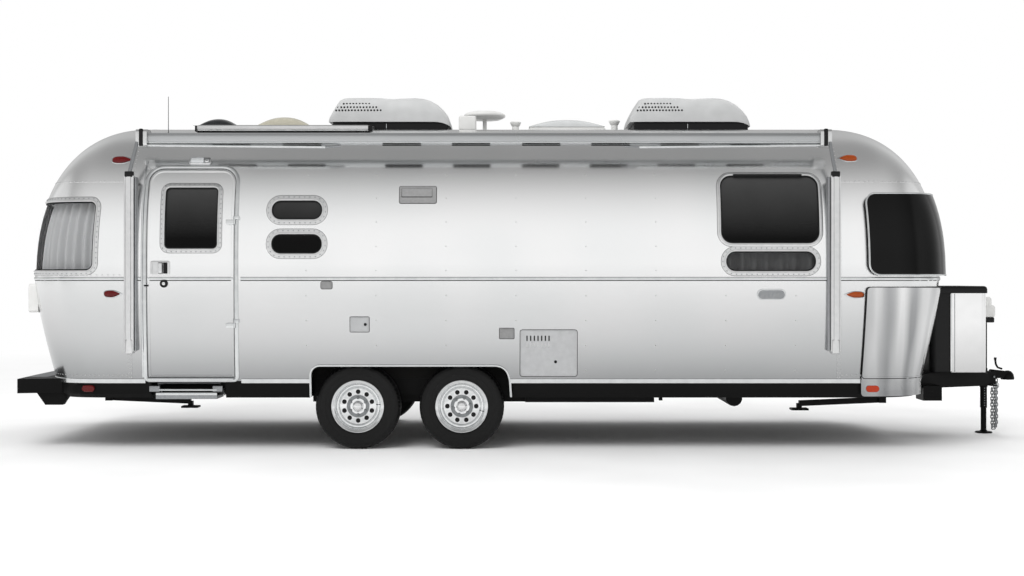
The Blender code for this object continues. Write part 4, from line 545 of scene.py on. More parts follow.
def sheet_on(place, outline, holes=(), back=-WALL, front=0.0, across=(), levels=(), true=True):
    """A sheet cut flat to its outline and holes, scored along stations and heights, then bent onto the body."""
    bm = bmesh.new()
    edges = []
    for loop in (outline, *holes):
        dots = [bm.verts.new((u, v, 0)) for u, v in loop]
        edges += [bm.edges.new((a, b)) for a, b in zip(dots, dots[1:] + dots[:1])]
    bmesh.ops.triangle_fill(bm, edges=edges, use_beauty=True, use_dissolve=False, normal=(0, 0, 1))
    for axis, marks in (((1, 0, 0), across), ((0, 1, 0), levels)):
        for mark in marks:
            bmesh.ops.bisect_plane(bm, geom=bm.verts[:] + bm.edges[:] + bm.faces[:], dist=0.0001,
                                   plane_co=Vector(axis) * mark, plane_no=axis)
    bmesh.ops.dissolve_limit(bm, angle_limit=0.01, verts=[], edges=[])
    rim = [e for e in bm.edges if len(e.link_faces) == 1]
    twins = {}
    flat = [(v, v.co.x, v.co.y) for v in bm.verts]
    sheets = list(bm.faces)
    for dot, u, v in flat:
        dot.co = place(u, v, front)
        twins[dot] = bm.verts.new(place(u, v, back))
    for face in sheets:
        bm.faces.new([twins[v] for v in reversed(face.verts)])
    for edge in rim:
        a, b = edge.verts
        bm.faces.new((a, b, twins[b], twins[a]))
    piece = from_mesh(bm)
    return true_shading(piece) if true else piece


def weave(rows, around=True, along=True):
    """A closed body through rows of points; around joins the last row to the first, along the ends of each row."""
    bm = bmesh.new()
    grid = [[bm.verts.new(p) for p in row] for row in rows]
    n, m = len(grid), len(grid[0])
    for i in range(n if around else n - 1):
        for j in range(m if along else m - 1):
            a, b = grid[i], grid[(i + 1) % n]
            bm.faces.new((a[j], a[(j + 1) % m], b[(j + 1) % m], b[j]))
    if not along:
        bm.faces.new([row[0] for row in grid])
        bm.faces.new([row[-1] for row in reversed(grid)])
    if not around:
        bm.faces.new(grid[0])
        bm.faces.new(list(reversed(grid[-1])))
    return from_mesh(bm)


def outline_of(spec, grow=0.0, nu=1, nv=1, corner=7):
    """A rounded outline with the same number of points at any size; a sixth number is the lower corners' radius."""
    u0, u1, v0, v1, *radii = spec
    u0, u1, v0, v1 = u0 - grow, u1 + grow, v0 - grow, v1 + grow
    high, low = [max(min(r + grow, (u1 - u0) / 2 - 0.0001, (v1 - v0) / 2 - 0.0001), 0.0005)
                 for r in (radii[0], radii[-1])]
    points = []
    for cu, cv, quarter, r in ((u1 - high, v1 - high, 0, high), (u0 + high, v1 - high, 1, high),
                               (u0 + low, v0 + low, 2, low), (u1 - low, v0 + low, 3, low)):
        for i in range(corner + 1):
            a = (quarter + i / corner) * math.pi / 2
            points.append((cu + r * math.cos(a), cv + r * math.sin(a)))
        points.append(None)
    full = []
    counts = iter((nu, nv, nu, nv))
    for i, point in enumerate(points):
        if point is not None:
            full.append(point)
            continue
        pieces = next(counts)
        a, b = points[i - 1], points[(i + 1) % len(points)]
        full += [(a[0] + (b[0] - a[0]) * k / pieces, a[1] + (b[1] - a[1]) * k / pieces) for k in range(1, pieces)]
    return full


def hoop(place, spec, profile, nu=2, nv=8, corner=7):
    """A frame round an opening: the profile is (out from the opening's edge, off the skin)."""
    rows = []
    for grow, out in profile:
        rows.append([place(u, v, out) for u, v in outline_of(spec, grow, nu, nv, corner)])
    return weave(rows)


def strip(place_rows):
    """A strip through stations; each station is a row of points across its section."""
    rows = [[station[i] for station in place_rows] for i in range(len(place_rows[0]))]
    return weave(rows, along=False)


def girdle(stations, profile):
    """A moulding along the body; the profile is (height, off the skin) all round its section."""
    return strip([[station(z, out) for z, out in profile] for station in stations])


def side_stop(side, x):
    return lambda z, out: on_side(side)(x, z, out)


def end_stop(end, t):
    return lambda z, out: lift(end_point(end, t, z), out)


def rivet_rows(name, spots, radius=0.0054, high=0.0024, body="caravan", mat=RIVET):
    """Low round rivet heads: one dome, copied to each spot along its direction."""
    bm = bmesh.new()
    sides = 7
    for point, direction in spots:
        turn = Vector((0, 0, 1)).rotation_difference(direction).to_matrix()
        rings = []
        for r, h in ((1.0, -0.0006), (1.0, high * 0.35), (0.6, high * 0.85)):
            rings.append([bm.verts.new(point + turn @ Vector((radius * r * math.cos(math.tau * i / sides),
                                                              radius * r * math.sin(math.tau * i / sides), h)))
                          for i in range(sides)])
        top = bm.verts.new(point + turn @ Vector((0, 0, high)))
        for low, up in zip(rings, rings[1:]):
            for i in range(sides):
                bm.faces.new((low[i], low[(i + 1) % sides], up[(i + 1) % sides], up[i]))
        for i in range(sides):
            bm.faces.new((rings[-1][i], rings[-1][(i + 1) % sides], top))
        bm.faces.new(list(reversed(rings[0])))
    piece = as_object(bm)
    piece.data.shade_smooth()
    return settle(piece, name, mat, body, angle=None)


def spots_round(place, spec, grow, pitch, out=0.0):
    """Spots at an even pitch round an opening."""
    flat = outline_of(spec, grow, 12, 12, 6)
    loop = [place(u, v, out) for u, v in flat]
    lengths = [(loop[(i + 1) % len(loop)] - loop[i]).length for i in range(len(loop))]
    count = max(round(sum(lengths) / pitch), 4)
    step = sum(lengths) / count
    spots = []
    want = step / 2
    walked = 0.0
    for i, long in enumerate(lengths):
        while want <= walked + long and len(spots) < count:
            share = (want - walked) / long
            a, b = flat[i], flat[(i + 1) % len(flat)]
            u, v = a[0] + (b[0] - a[0]) * share, a[1] + (b[1] - a[1]) * share
            spots.append((place(u, v, out), outward(place(u, v))))
            want += step
        walked += long
    return spots


# Skins
SIDES = ((-1, "curb"), (1, "street"))


def arch_path(step=0.0):
    """The wheel arch from its rear foot over to its front foot, a step outside its edge."""
    x0, x1 = WELL_X
    r = 0.066 + step
    points = [(x0 - step, FOOT_Z), (x0 - step, 0.600)]
    for i in range(1, 7):
        a = math.pi - i / 6 * math.pi / 2
        points.append((x0 + 0.066 + r * math.cos(a), ARCH_Z - 0.066 + r * math.sin(a)))
    top = ARCH_Z + step
    bend = ((x1 - 0.15, top), (x1 - 0.058 + step * 0.6, top), (x1 - 0.038 + step, ARCH_Z - 0.085))
    for k in [i / 8 for i in range(9)]:
        points.append(tuple((1 - k) ** 2 * a + 2 * k * (1 - k) * b + k * k * c for a, b, c in zip(*bend)))
    return points + [(x1 - 0.030 + step, FOOT_Z)]


CROWN_LEVELS = [BELT_Z + CROWN_H * math.sin(i / 30 * math.asin(0.992 ** 1.6)) ** (2 / CROWN_POWER)
                for i in range(1, 30)]
LOW_LEVELS = [FOOT_Z + (BELT_Z - FOOT_Z) * i / 9 for i in range(1, 9)]
WALL_LEVELS = LOW_LEVELS + [BELT_Z] + [z for z in CROWN_LEVELS if z < WALL_TOP_Z - 0.01]

low_edge = [(X0, FOOT_Z), *arch_path(), (X1, FOOT_Z), (X1, WALL_TOP_Z), (X0, WALL_TOP_Z)]
crown_edge = [(X0, WALL_TOP_Z), (X1, WALL_TOP_Z), (X1, ROOF_Z), (X0, ROOF_Z)]
for side, tail in SIDES:
    holes = [outline_of(WINDOW_MAIN), outline_of(WINDOW_LOW)]
    if side < 0:
        holes += [outline_of(OVAL_UPPER), outline_of(OVAL_LOWER), outline_of(DOOR, DOOR_GAP)]
    wall = sheet_on(on_side(side), low_edge, holes, levels=WALL_LEVELS)
    settle(wall, "skin_wall_" + tail, SKIN, replaces="wall_" + tail, angle=None)
    crown = sheet_on(on_side(side), crown_edge, levels=[z for z in CROWN_LEVELS if z > WALL_TOP_Z + 0.005],
                     back=-0.02)
    settle(crown, "skin_crown_" + tail, SKIN, replaces="roof", angle=None)

REAR_WRAP = (run_at(-1, y=0.66), run_at(-1, x=3.585), 1.441, 1.999, 0.06)
REAR_MIDDLE = (-run_at(-1, y=0.60), run_at(-1, y=0.60), 1.441, 1.999, 0.06)
FRONT_WRAP = (run_at(1, y=0.66), run_at(1, x=2.74), 1.46, 1.96, 0.06)
FRONT_MIDDLE = (-run_at(1, y=0.60), run_at(1, y=0.60), 1.46, 1.96, 0.06)


def mirrored(spec):
    return (-spec[1], -spec[0], *spec[2:])


def end_stations(end):
    return [math.copysign(RUNS[end][i][0], k) for k in (-1, 1) for i in range(8, 240, 8)]


def within(end, spec):
    return [m for m in sorted(end_stations(end)) if spec[0] < m < spec[1]]


for end, name, wrap, middle in ((-1, "cap_rear", REAR_WRAP, REAR_MIDDLE), (1, "cap_front", FRONT_WRAP, FRONT_MIDDLE)):
    full = RUN[end]
    edge = [(-full, FOOT_Z), (full, FOOT_Z), (full, ROOF_Z), (-full, ROOF_Z)]
    holes = [outline_of(s, 0, 6, 1) for s in (wrap, mirrored(wrap), middle)]
    cap = sheet_on(on_end(end), edge, holes, across=end_stations(end) + [0.0],
                   levels=LOW_LEVELS + [BELT_Z] + CROWN_LEVELS)
    settle(cap, "skin_" + name, SKIN, replaces=name, angle=None)
flat_top = [end_point(end, end * i / 20, ROOF_Z) for end in (1, -1) for i in range(-20, 21)]
roof = weave([[Vector((p.x, p.y, z)) for p in flat_top] for z in (ROOF_Z - 0.02, ROOF_Z)], around=False)
settle(roof, "skin_roof_flat", SKIN, replaces="roof", angle=30)

# Mouldings: a belt all round between the door and itself, a bright foot trim, and trim round the wheel arches.
# Profiles are (height, off the skin).
BELT = [(1.3635, 0.0), (1.3650, 0.004), (1.3690, 0.0065), (1.3855, 0.0065), (1.3895, 0.004), (1.3910, 0.0)]
FOOT = [(0.5345, -0.004), (0.5345, 0.006), (0.5370, 0.0085), (0.5690, 0.0085), (0.5720, 0.006), (0.5725, -0.004)]
# LINE is a dark strip just under the belt moulding: painted shadow of the moulding.
LINE = [(1.3585, 0.0), (1.3585, 0.0012), (1.3635, 0.0012), (1.3635, 0.0)]
JAMB_REAR, JAMB_FRONT = -3.178, -2.405


def side_run(side, xs):
    return [side_stop(side, x) for x in xs]


def end_run(end, order, steps=40):
    return [end_stop(end, order * (1 - 2 * i / steps)) for i in range(steps + 1)]


to_rear = side_run(-1, [JAMB_REAR, X0]) + end_run(-1, -1)[1:]
round_front = end_run(1, 1)[1:]
all_round = to_rear + side_run(1, [0.0, X1]) + round_front + side_run(-1, [JAMB_FRONT])
well_rear, well_front = WELL_X[0] - 0.012, WELL_X[1] - 0.02
for name, stations, profile, mat in (
        ("belt_moulding", all_round, BELT, TRIM), ("belt_shadow_line", all_round, LINE, SEAL),
        ("foot_trim_rear", to_rear + side_run(1, [well_rear]), FOOT, TRIM),
        ("foot_trim_front", side_run(1, [well_front, X1]) + round_front + side_run(-1, [well_front]), FOOT, TRIM),
        ("foot_trim_middle", side_run(-1, [JAMB_FRONT, well_rear]), FOOT, TRIM)):
    settle(girdle(stations, profile), name, mat)
for side, tail in SIDES:
    rows = []
    for step, out in ((0.0, -0.004), (0.0, 0.009), (0.004, 0.012), (0.012, 0.012), (0.016, 0.009), (0.016, -0.004)):
        path = arch_path(step)
        path = [(path[0][0], 0.424), *path, (path[-1][0] + 0.008, 0.424)]
        rows.append([on_side(side)(x, z, out) for x, z in path])
    settle(weave(rows, along=False), "arch_trim_" + tail, TRIM)

# Lapped seams and their rivets.
SEAM_Z = 2.172
LAP = [(SEAM_Z - 0.016, 0.0), (SEAM_Z - 0.015, 0.0011), (SEAM_Z, 0.0011), (SEAM_Z + 0.0005, 0.0)]
STRAP = [(-0.018, -0.001), (-0.017, 0.0011), (0.017, 0.0011), (0.018, -0.001)]
full_height = [FOOT_Z] + WALL_LEVELS + [z for z in CROWN_LEVELS if z > WALL_TOP_Z] + [ROOF_Z]
for end, name, x in ((-1, "rear", X0), (1, "front", X1)):
    settle(girdle(end_run(end, -1), LAP), "cap_seam_" + name, SKIN)
    for side, tail in SIDES:
        rows = [[on_side(side)(x + dx, z, out) for dx, out in STRAP] for z in full_height]
        settle(strip(rows), "seam_strap_%s_%s" % (name, tail), SKIN)


def every(pitch, low, high):
    while low < high:
        yield low
        low += pitch


def spot(place, u, v, out=0.0):
    return place(u, v, out), outward(place(u, v))


ROWS = (2.216, 2.024, 1.831, 1.635, 1.442, 1.24, 1.04, 0.84, 0.64)
NO_RIVETS = (WINDOW_MAIN, WINDOW_LOW, OVAL_UPPER, OVAL_LOWER, (-0.162, 0.295, 0.59, 0.965), (-1.93, -0.14, 0.5, 0.72),
             (1.736, 1.969, 1.206, 1.294))
spots = []
for side in (-1, 1):
    place = on_side(side)
    for x in (X0 - 0.010, X0 + 0.010, X1 - 0.010, X1 + 0.010):
        spots += [spot(place, x, z, 0.001) for z in every(0.036, FOOT_Z + 0.03, 2.55) if abs(z - BELT_Z) > 0.02]
    for x in every(0.5613, -1.88, 2.3):
        spots += [spot(place, x, z) for z in ROWS
                  if not any(s[0] - 0.05 < x < s[1] + 0.05 and s[2] - 0.05 < z < s[3] + 0.05 for s in NO_RIVETS)]
rivet_rows("rivets_walls", spots, mat=FRAME)
spots = []
for end in (-1, 1):
    place = on_end(end)
    heights = [SEAM_Z - 0.008, 0.60] + ([BELT_Z + 0.032] if end < 0 else [])
    for run in every(0.045, -RUN[end] + 0.03, RUN[end]):
        spots += [spot(place, run, z, 0.001) for z in heights]
    for post in (-run_at(end, y=0.63), run_at(end, y=0.63)):
        for low, high in ((0.62, BELT_Z - 0.03), (2.03, SEAM_Z - 0.03)):
            spots += [spot(place, post, z) for z in every(0.036, low, high)]
rivet_rows("rivets_caps", spots, mat=FRAME)


# Frames, seals and glass. Profiles are (out from the opening's edge, off the skin).
FLANGE = [(-0.003, -0.020), (-0.003, 0.008), (0.001, 0.011), (0.008, 0.011), (0.011, 0.006)]
GLASS_SEAL = [(-0.012, -0.010), (-0.012, -0.002), (-0.003, 0.002), (-0.003, -0.010)]


def cast_frame(name, place, spec, wide, body="caravan", pitch=0.042, nu=2, nv=10):
    """A riveted cast frame with a raised inner lip, and a rubber seal inside it."""
    lip = FLANGE + [(wide - 0.003, 0.0045), (wide, 0.002), (wide, -0.003)]
    # The dark line round the frame's outer edge is painted shadow of the raised frame.
    line = [(wide - 0.0005, -0.0004), (wide - 0.0005, 0.0011), (wide + 0.0022, 0.0011), (wide + 0.0022, -0.0004)]
    for part, profile, mat in (("_frame", lip, FRAME), ("_seal", GLASS_SEAL, SEAL), ("_edge", line, SEAL)):
        settle(hoop(place, spec, profile, nu, nv), name + part, mat, body)
    if pitch:
        rivet_rows(name + "_rivets", spots_round(place, spec, (wide + 0.011) / 2, pitch, 0.0052), 0.0056, 0.0028,
                   body)


def pane(name, place, spec, node, body="caravan", marks=(), mat=GLASS, levels=WALL_LEVELS):
    cut = [z for z in levels if spec[2] < z < spec[3]]
    made = sheet_on(place, outline_of(spec, -0.0008, 6, 1), (), -0.014, -0.008, marks, cut)
    return settle(made, name, mat, body, node, angle=None)


for side, tail in SIDES:
    place = on_side(side)
    pane("pane_main_" + tail, place, WINDOW_MAIN, "window_main_" + tail)
    pane("pane_low_" + tail, place, WINDOW_LOW, "window_low_" + tail, mat=GLASS_MID)
    cast_frame("main_" + tail, place, WINDOW_MAIN, 0.025, pitch=0)
    cast_frame("low_" + tail, place, WINDOW_LOW, 0.036)
for row, spec in (("upper", OVAL_UPPER), ("lower", OVAL_LOWER)):
    pane("pane_oval_" + row, on_side(-1), spec, "oval_%s_curb" % row)
    cast_frame("oval_" + row, on_side(-1), spec, 0.039)
for spec, tail in ((REAR_WRAP, "street"), (mirrored(REAR_WRAP), "curb"), (REAR_MIDDLE, "middle")):
    pane("pane_rear_" + tail, on_end(-1), spec, "rear_glass_" + tail, marks=within(-1, spec), mat=GLASS_PALE,
         levels=CROWN_LEVELS)
    cast_frame("rear_" + tail, on_end(-1), spec, 0.036, nu=16)


def curtain(name, place, span, low, high, back, pitch, depth):
    """A hung curtain in soft folds, a little deeper towards its foot."""
    count = max(int((span[1] - span[0]) / pitch * 12), 24)
    rows = []
    for z in [low + (high - low) * i / 14 for i in range(15)]:
        fall = 0.65 + 0.35 * (high - z) / (high - low)
        row = []
        for u in [span[0] + (span[1] - span[0]) * i / count for i in range(count + 1)]:
            turn = math.tau * u / pitch
            wave = math.sin(turn + 0.9 * math.sin(u * 7.3)) + 0.3 * math.sin(turn * 0.43)
            row.append(place(u, z, -back - depth * fall * wave))
        rows.append(row)
    bm = bmesh.new()
    grid = [[bm.verts.new(p) for p in row] for row in rows]
    for a, b in zip(grid, grid[1:]):
        for j in range(count):
            bm.faces.new((a[j], a[j + 1], b[j + 1], b[j]))
    piece = as_object(bm)
    piece.data.shade_smooth()
    middle = rows[len(rows) // 2]
    width = sum((b - a).length for a, b in zip(middle, middle[1:]))
    settle(piece, name, CURTAIN, angle=None)


for spec, tail in ((mirrored(REAR_WRAP), "curb"), (REAR_WRAP, "street")):
    curtain("curtain_rear_" + tail, on_end(-1), (spec[0] - 0.05, spec[1] + 0.05), 1.405, 2.03, 0.085, 0.085, 0.026)
for side, tail in SIDES:
    u0, u1 = sorted((side * (REAR_WRAP[0] - 0.002), side * (REAR_WRAP[0] + 0.175)))
    band = sheet_on(on_end(-1), outline_of((u0, u1, 1.446, 1.994, 0.02)), (), -0.0085, -0.0068, (),
                    [z for z in CROWN_LEVELS if z < 1.99], true=False)
    settle(band, "rear_corner_band_" + tail, SEAL, angle=30)
    curtain("curtain_low_" + tail, on_side(side), (1.43, 2.27), 1.40, 1.63, 0.080, 0.110, 0.024)

# Front glass stays behind the dark guard; the guard stands off the skin on feet, with a bright bead round it.
GUARD_CURB = (-run_at(1, x=2.623), -run_at(1, y=0.665), 1.402, 2.055, 0.09)
GUARD_MIDDLE = (-run_at(1, y=0.66), run_at(1, y=0.66), 1.402, 2.055, 0.03)
GUARD_BEAD = [(-0.010, 0.043), (-0.010, 0.053), (-0.003, 0.0555), (0.001, 0.053), (0.001, 0.043), (-0.003, 0.041)]
for spec, tail, body in ((GUARD_CURB, "curb", "caravan"), (mirrored(GUARD_CURB), "street", "caravan"),
                         (GUARD_MIDDLE, "middle", "guard_middle")):
    made = sheet_on(on_end(1), outline_of(spec, -0.002, 8, 1), (), 0.045, 0.051, within(1, spec),
                    [z for z in CROWN_LEVELS if z < 2.05])
    settle(made, "guard_sheet_" + tail, TINT, body, "guard_" + tail, angle=None)
    settle(hoop(on_end(1), spec, GUARD_BEAD, 18, 10), "guard_bead_" + tail, TRIM, body)
for side, tail in SIDES:
    for i, z in enumerate((1.462, 1.975)):
        lathe("guard_foot_%s_%d" % (tail, i), BLACK, [(0.011, -0.01), (0.011, 0.040), (0.014, 0.046)],
              "-Y" if side < 0 else "Y", on_end(1)(side * run_at(1, x=2.673), z), 16)
boxes("guard_lugs", TRIM, [((3.245, y - 0.0147, 2.060), (3.3267, y + 0.0147, 2.072)) for y in (-0.455, 0.455)],
      0.003, 2)
rod("guard_rod", TRIM, [(3.31872, -0.4395, 2.060), (3.31872, 0.4395, 2.060)], 0.0075, 14, "guard_middle")

# Stone guards: bright sheets low on the front corners, with a skirt over the belly's edge.
STONE = (-run_at(1, x=2.612), -run_at(1, y=0.46), 0.5533, 1.310, 0.03)
SKIRT = (-run_at(1, x=2.612), -run_at(1, y=0.56), 0.430, 0.590, 0.03)
# STONE_EDGE is a dark rim round each sheet: painted shadow of the gap where the sheet stands off the skin.
STONE_EDGE = [(-0.004, 0.018), (-0.004, 0.0275), (0.0015, 0.0275), (0.0015, 0.018)]


def below_foot(run, z, out=0.0, nudge=0.0):
    """The front end's surface, carried straight down below the walls' foot."""
    if z >= FOOT_Z:
        return on_end(1)(run, z, out, nudge)
    point = on_end(1)(run, FOOT_Z, out - 0.004 * min((FOOT_Z - z) / 0.01, 1))
    return Vector((point.x, point.y, z))


for stone, skirt, tail in ((STONE, SKIRT, "curb"), (mirrored(STONE), mirrored(SKIRT), "street")):
    made = sheet_on(on_end(1), outline_of(stone, 0, 8, 1), (), 0.020, 0.024, within(1, stone), LOW_LEVELS[:-1])
    settle(made, "stone_sheet_" + tail, STONE_SHEET, replaces="stone_guard_" + tail, angle=None)
    made = sheet_on(below_foot, outline_of(skirt, 0, 8, 1), (), 0.0195, 0.0262, within(1, skirt),
                    [0.445, 0.47, 0.535, 0.5533, 0.572], true=False)
    settle(made, "stone_skirt_" + tail, STONE_SHEET, angle=25)
    settle(hoop(on_end(1), (*stone[:2], 0.575, 1.310, 0.03), STONE_EDGE, 16, 10), "stone_edge_" + tail, SEAL)


# Lamps
def frame_at(place, u, v):
    """Along, up and out directions of the skin at a place, as a matrix."""
    normal = outward(place(u, v))
    along = (place(u + 0.01, v) - place(u - 0.01, v)).normalized()
    up = normal.cross(along).normalized()
    if up.z < 0:
        up = -up
    along = up.cross(normal).normalized()
    return Matrix.Translation(place(u, v)) @ Matrix((along, up, normal)).transposed().to_4x4()


def teardrop(name, mat, long, high, deep, tip, turn):
    """A lens: half a ball drawn out to a point at one end, rounded full at the other."""
    lay_down()
    bpy.ops.mesh.primitive_uv_sphere_add(segments=28, ring_count=16, radius=1, rotation=(0, math.pi / 2, 0))
    bpy.ops.object.transform_apply(location=False, rotation=True, scale=False)
    bpy.ops.object.mode_set(mode="EDIT")
    bpy.ops.mesh.bisect(plane_co=(0, 0, 0), plane_no=(0, 0, 1), use_fill=True, clear_inner=True)
    piece = in_hand()
    for vert in piece.data.vertices:
        x = max(min(vert.co.x * tip, 1.0), -1.0)
        round_now = max(1 - x * x, 0.0001) ** 0.5
        wanted = (1 - abs(x) ** 3.4) ** (1 / 3.4) if x < 0 else max(1 - 0.9 * x ** 1.5, 0.0)
        slim = wanted / round_now if abs(x) < 0.999 else 0.0
        vert.co.y *= slim
        vert.co.z *= slim
    piece.data.transform(turn @ Matrix.Diagonal((long / 2, high / 2, deep, 1)))
    settle(piece, name, mat)


# End, distance past the straight walls, height, length, width, lens.
MARKERS = [(-1, 0.137, 2.343, 0.19, 0.084, RED), (-1, 0.133, 1.254, 0.155, 0.064, RED),
           (1, 0.155, 2.357, 0.17, 0.078, AMBER), (1, 0.121, 1.248, 0.168, 0.058, AMBER)]
for i, (end, along, z, long, high, mat) in enumerate(MARKERS):
    for side, tail in SIDES:
        turn = frame_at(on_end(end), side * run_at(end, x=ENDS[end]["start"] + along), z)
        tip = -end * (1 if turn.to_3x3().col[0].x > 0 else -1)
        name = "marker_%d_%s" % (i, tail)
        teardrop(name + "_bezel", TRIM, long, high, 0.008, tip, turn)
        teardrop(name + "_lens", mat, long * 0.84, high * 0.86, 0.024, tip,
                 turn @ Matrix.Translation((-0.006 * tip, 0, 0)))


def stadium_lamp(name, end, x, out, mat):
    """A flat lamp with round ends on the band under the walls."""
    run = math.copysign(run_at(end, x=abs(x)), 1 if name.endswith("street") else -1)
    turn = frame_at(on_end(end), run, FOOT_Z + 0.03).to_3x3().to_4x4()
    point = on_end(end)(run, FOOT_Z, out)
    block((-0.0525, -0.026, -0.004), (0.0525, 0.026, 0.0072), 0.02548, 6, upright)
    pick(lambda p, d: p.z > 0.006)
    bpy.ops.mesh.inset(thickness=0.004, depth=0.0)
    bpy.ops.transform.translate(value=(0, 0, 0.0048))
    lamp_body = in_hand()
    lamp_body.data.transform(Matrix.Translation((point.x, point.y, 0.4913)) @ turn)
    settle(lamp_body, name, mat)


for side, tail in SIDES:
    stadium_lamp("band_lamp_rear_" + tail, -1, 3.72, 0.002, RED)
    stadium_lamp("band_lamp_front_" + tail, 1, 2.72, 0.024, ORANGE)
    y = side * 0.85
    face = on_end(-1)(side * run_at(-1, y=0.85), 1.2155)
    block((face.x - 0.048, y - 0.082, 1.097), (face.x + 0.03, y + 0.082, 1.334), 0.022, 5, lengthwise)
    pick(lambda p, d: d.x < -0.9)
    bpy.ops.mesh.inset(thickness=0.012, depth=0.0)
    bpy.ops.transform.translate(value=(-0.007, 0, 0))
    bpy.ops.mesh.inset(thickness=0.014, depth=0.0)
    extrude(0.006, 0, 0)
    settle(in_hand(), "tail_housing_" + tail, WHITE)
    for k, (z0, z1) in enumerate(((1.262, 1.306), (1.196, 1.254), (1.125, 1.188))):
        boxes("tail_lens_%s_%d" % (tail, k), RED,
              [((face.x - 0.058, y - 0.052, z0), (face.x - 0.035, y + 0.052, z1))], 0.008, 3)
    point = on_end(-1)(side * run_at(-1, y=0.6), 2.11)
    boxes("rear_top_fitting_" + tail, WHITE,
          [((point.x - 0.030, point.y - 0.03, 2.08), (point.x + 0.03, point.y + 0.03, 2.14))], 0.012, 3)

porch = frame_at(on_side(-1), -2.7615, 2.324)
block((-0.0885, -0.036, -0.006), (0.0885, 0.036, 0.018), 0.016, 5, upright)
pick(lambda p, d: p.z > 0.017)
bpy.ops.mesh.inset(thickness=0.006, depth=0.0)
bpy.ops.transform.translate(value=(0, 0, 0.006))
base = in_hand()
block((-0.078, -0.027, 0.020), (0.030, 0.027, 0.031), 0.010, 4)
lens = in_hand()
eye = turned([(0.020, 0.018), (0.020, 0.030), (0.014, 0.036), (0.004, 0.037)], "Z", (0.055, 0, 0), 20)
for piece, name, mat in ((base, "base", CHROME), (lens, "lens", CLEAR), (eye, "eye", CHROME)):
    piece.data.transform(porch)
    settle(piece, "porch_lamp_" + name, mat)

# Entry door
curb = on_side(-1)
leaf = sheet_on(curb, outline_of(DOOR, 0, 1, 1), [outline_of(DOOR_GLASS)], levels=WALL_LEVELS)
settle(leaf, "door_skin", SKIN, "door", "door_leaf", angle=None)
pane("pane_door", curb, DOOR_GLASS, "door_glass", "door")
cast_frame("door_window", curb, DOOR_GLASS, 0.033, "door", pitch=0.040)
DOOR_FRAME = (DOOR[0] - 0.004, DOOR[1] + 0.004, 0.5765, 2.266, 0.114, 0.012)
MOULD = [(0.002, -0.004), (0.002, 0.008), (0.006, 0.0125), (0.014, 0.0145), (0.022, 0.0145), (0.029, 0.0115),
         (0.033, 0.006), (0.033, -0.004)]
DOOR_EDGE = [(-0.022, -0.002), (-0.022, 0.0035), (-0.018, 0.005), (-0.006, 0.005), (-0.002, 0.0025),
             (-0.002, -0.002)]
DOOR_SEAL = [(0.0016, -0.040), (0.0016, -0.008), (0.0042, -0.008), (0.0042, -0.040)]
for name, spec, profile, mat, body in (
        ("door_moulding", DOOR_FRAME, MOULD, TRIM, "caravan"), ("door_edge", DOOR, DOOR_EDGE, SKIN, "door"),
        ("door_seal", DOOR, DOOR_SEAL, SEAL, "caravan")):
    settle(hoop(curb, spec, profile, 2, 30), name, mat, body)
# The dark strip under the door's belt is painted shadow of the moulding.
for name, profile, mat in (("door_belt", BELT, TRIM), ("door_belt_shadow_line", LINE, SEAL)):
    settle(girdle(side_run(-1, [DOOR[0] + 0.003, DOOR[1] - 0.003]), profile), name, mat, "door")

block((-3.126, -1.300, 1.404), (-2.972, -1.270, 1.520), 0.018, 5, lambda p, d: abs(d.y) > 0.9)
pick(lambda p, d: d.y < -0.9)
bpy.ops.mesh.inset(thickness=0.007, depth=0.0)
bpy.ops.transform.translate(value=(0, -0.004, 0))
bpy.ops.mesh.inset(thickness=0.006, depth=0.0)
extrude(0, 0.009, 0)
settle(in_hand(), "handle_plate", FRAME, "door")
for name, x0, x1, mat in (("handle_paddle", -3.066, -3.026, CHROME), ("handle_slide", -3.024, -2.990, BLACK)):
    block((x0, -1.312, 1.416), (x1, -1.290, 1.508), 0.006, 4)
    pick(lambda p, d: p.y < -1.305, "VERT")
    bpy.ops.transform.resize(value=(0.8, 1, 0.9), center_override=((x0 + x1) / 2, 0, 1.462))
    settle(in_hand(), name, mat, "door")
BOLT = (-3.019, -1.287, 1.337)
lathe("deadbolt_ring", BLACK, [(0.032, 0.0), (0.032, 0.010), (0.028, 0.014), (0.020, 0.014), (0.018, 0.010),
                               (0.004, 0.010)], "-Y", BOLT, 28, "door")
lathe("deadbolt_key", CHROME, [(0.014, 0.009), (0.013, 0.016), (0.006, 0.017)], "-Y", BOLT, 20, "door")
boxes("door_catch", BLACK, [((-3.176, -1.312, 1.314), (-3.140, -1.290, 1.328))], 0.004, 2)
for i, z in enumerate((1.831, 1.001)):
    skin_y = -half_width(z)
    lathe("hinge_pin_%d" % i, TRIM, [(0.0072, -0.020), (0.0086, -0.0185), (0.0086, 0.0185), (0.0072, 0.020)], "Z",
          (-2.452, -1.301, z), 16, "door")
    lathe("hinge_knuckle_%d" % i, TRIM, [(0.0072, 0.0205), (0.0086, 0.022), (0.0086, 0.048), (0.0072, 0.0502)], "Z",
          (-2.452, -1.301, z), 16)
    boxes("hinge_leaf_%d" % i, TRIM, [((-2.520, -1.3055, z - 0.019), (-2.456, skin_y + 0.004, z + 0.019))], 0.003, 2,
          "door")
    boxes("hinge_strap_%d" % i, TRIM, [((-2.452, -1.3055, z + 0.021), (-2.417, skin_y + 0.006, z + 0.050))], 0.003, 2)

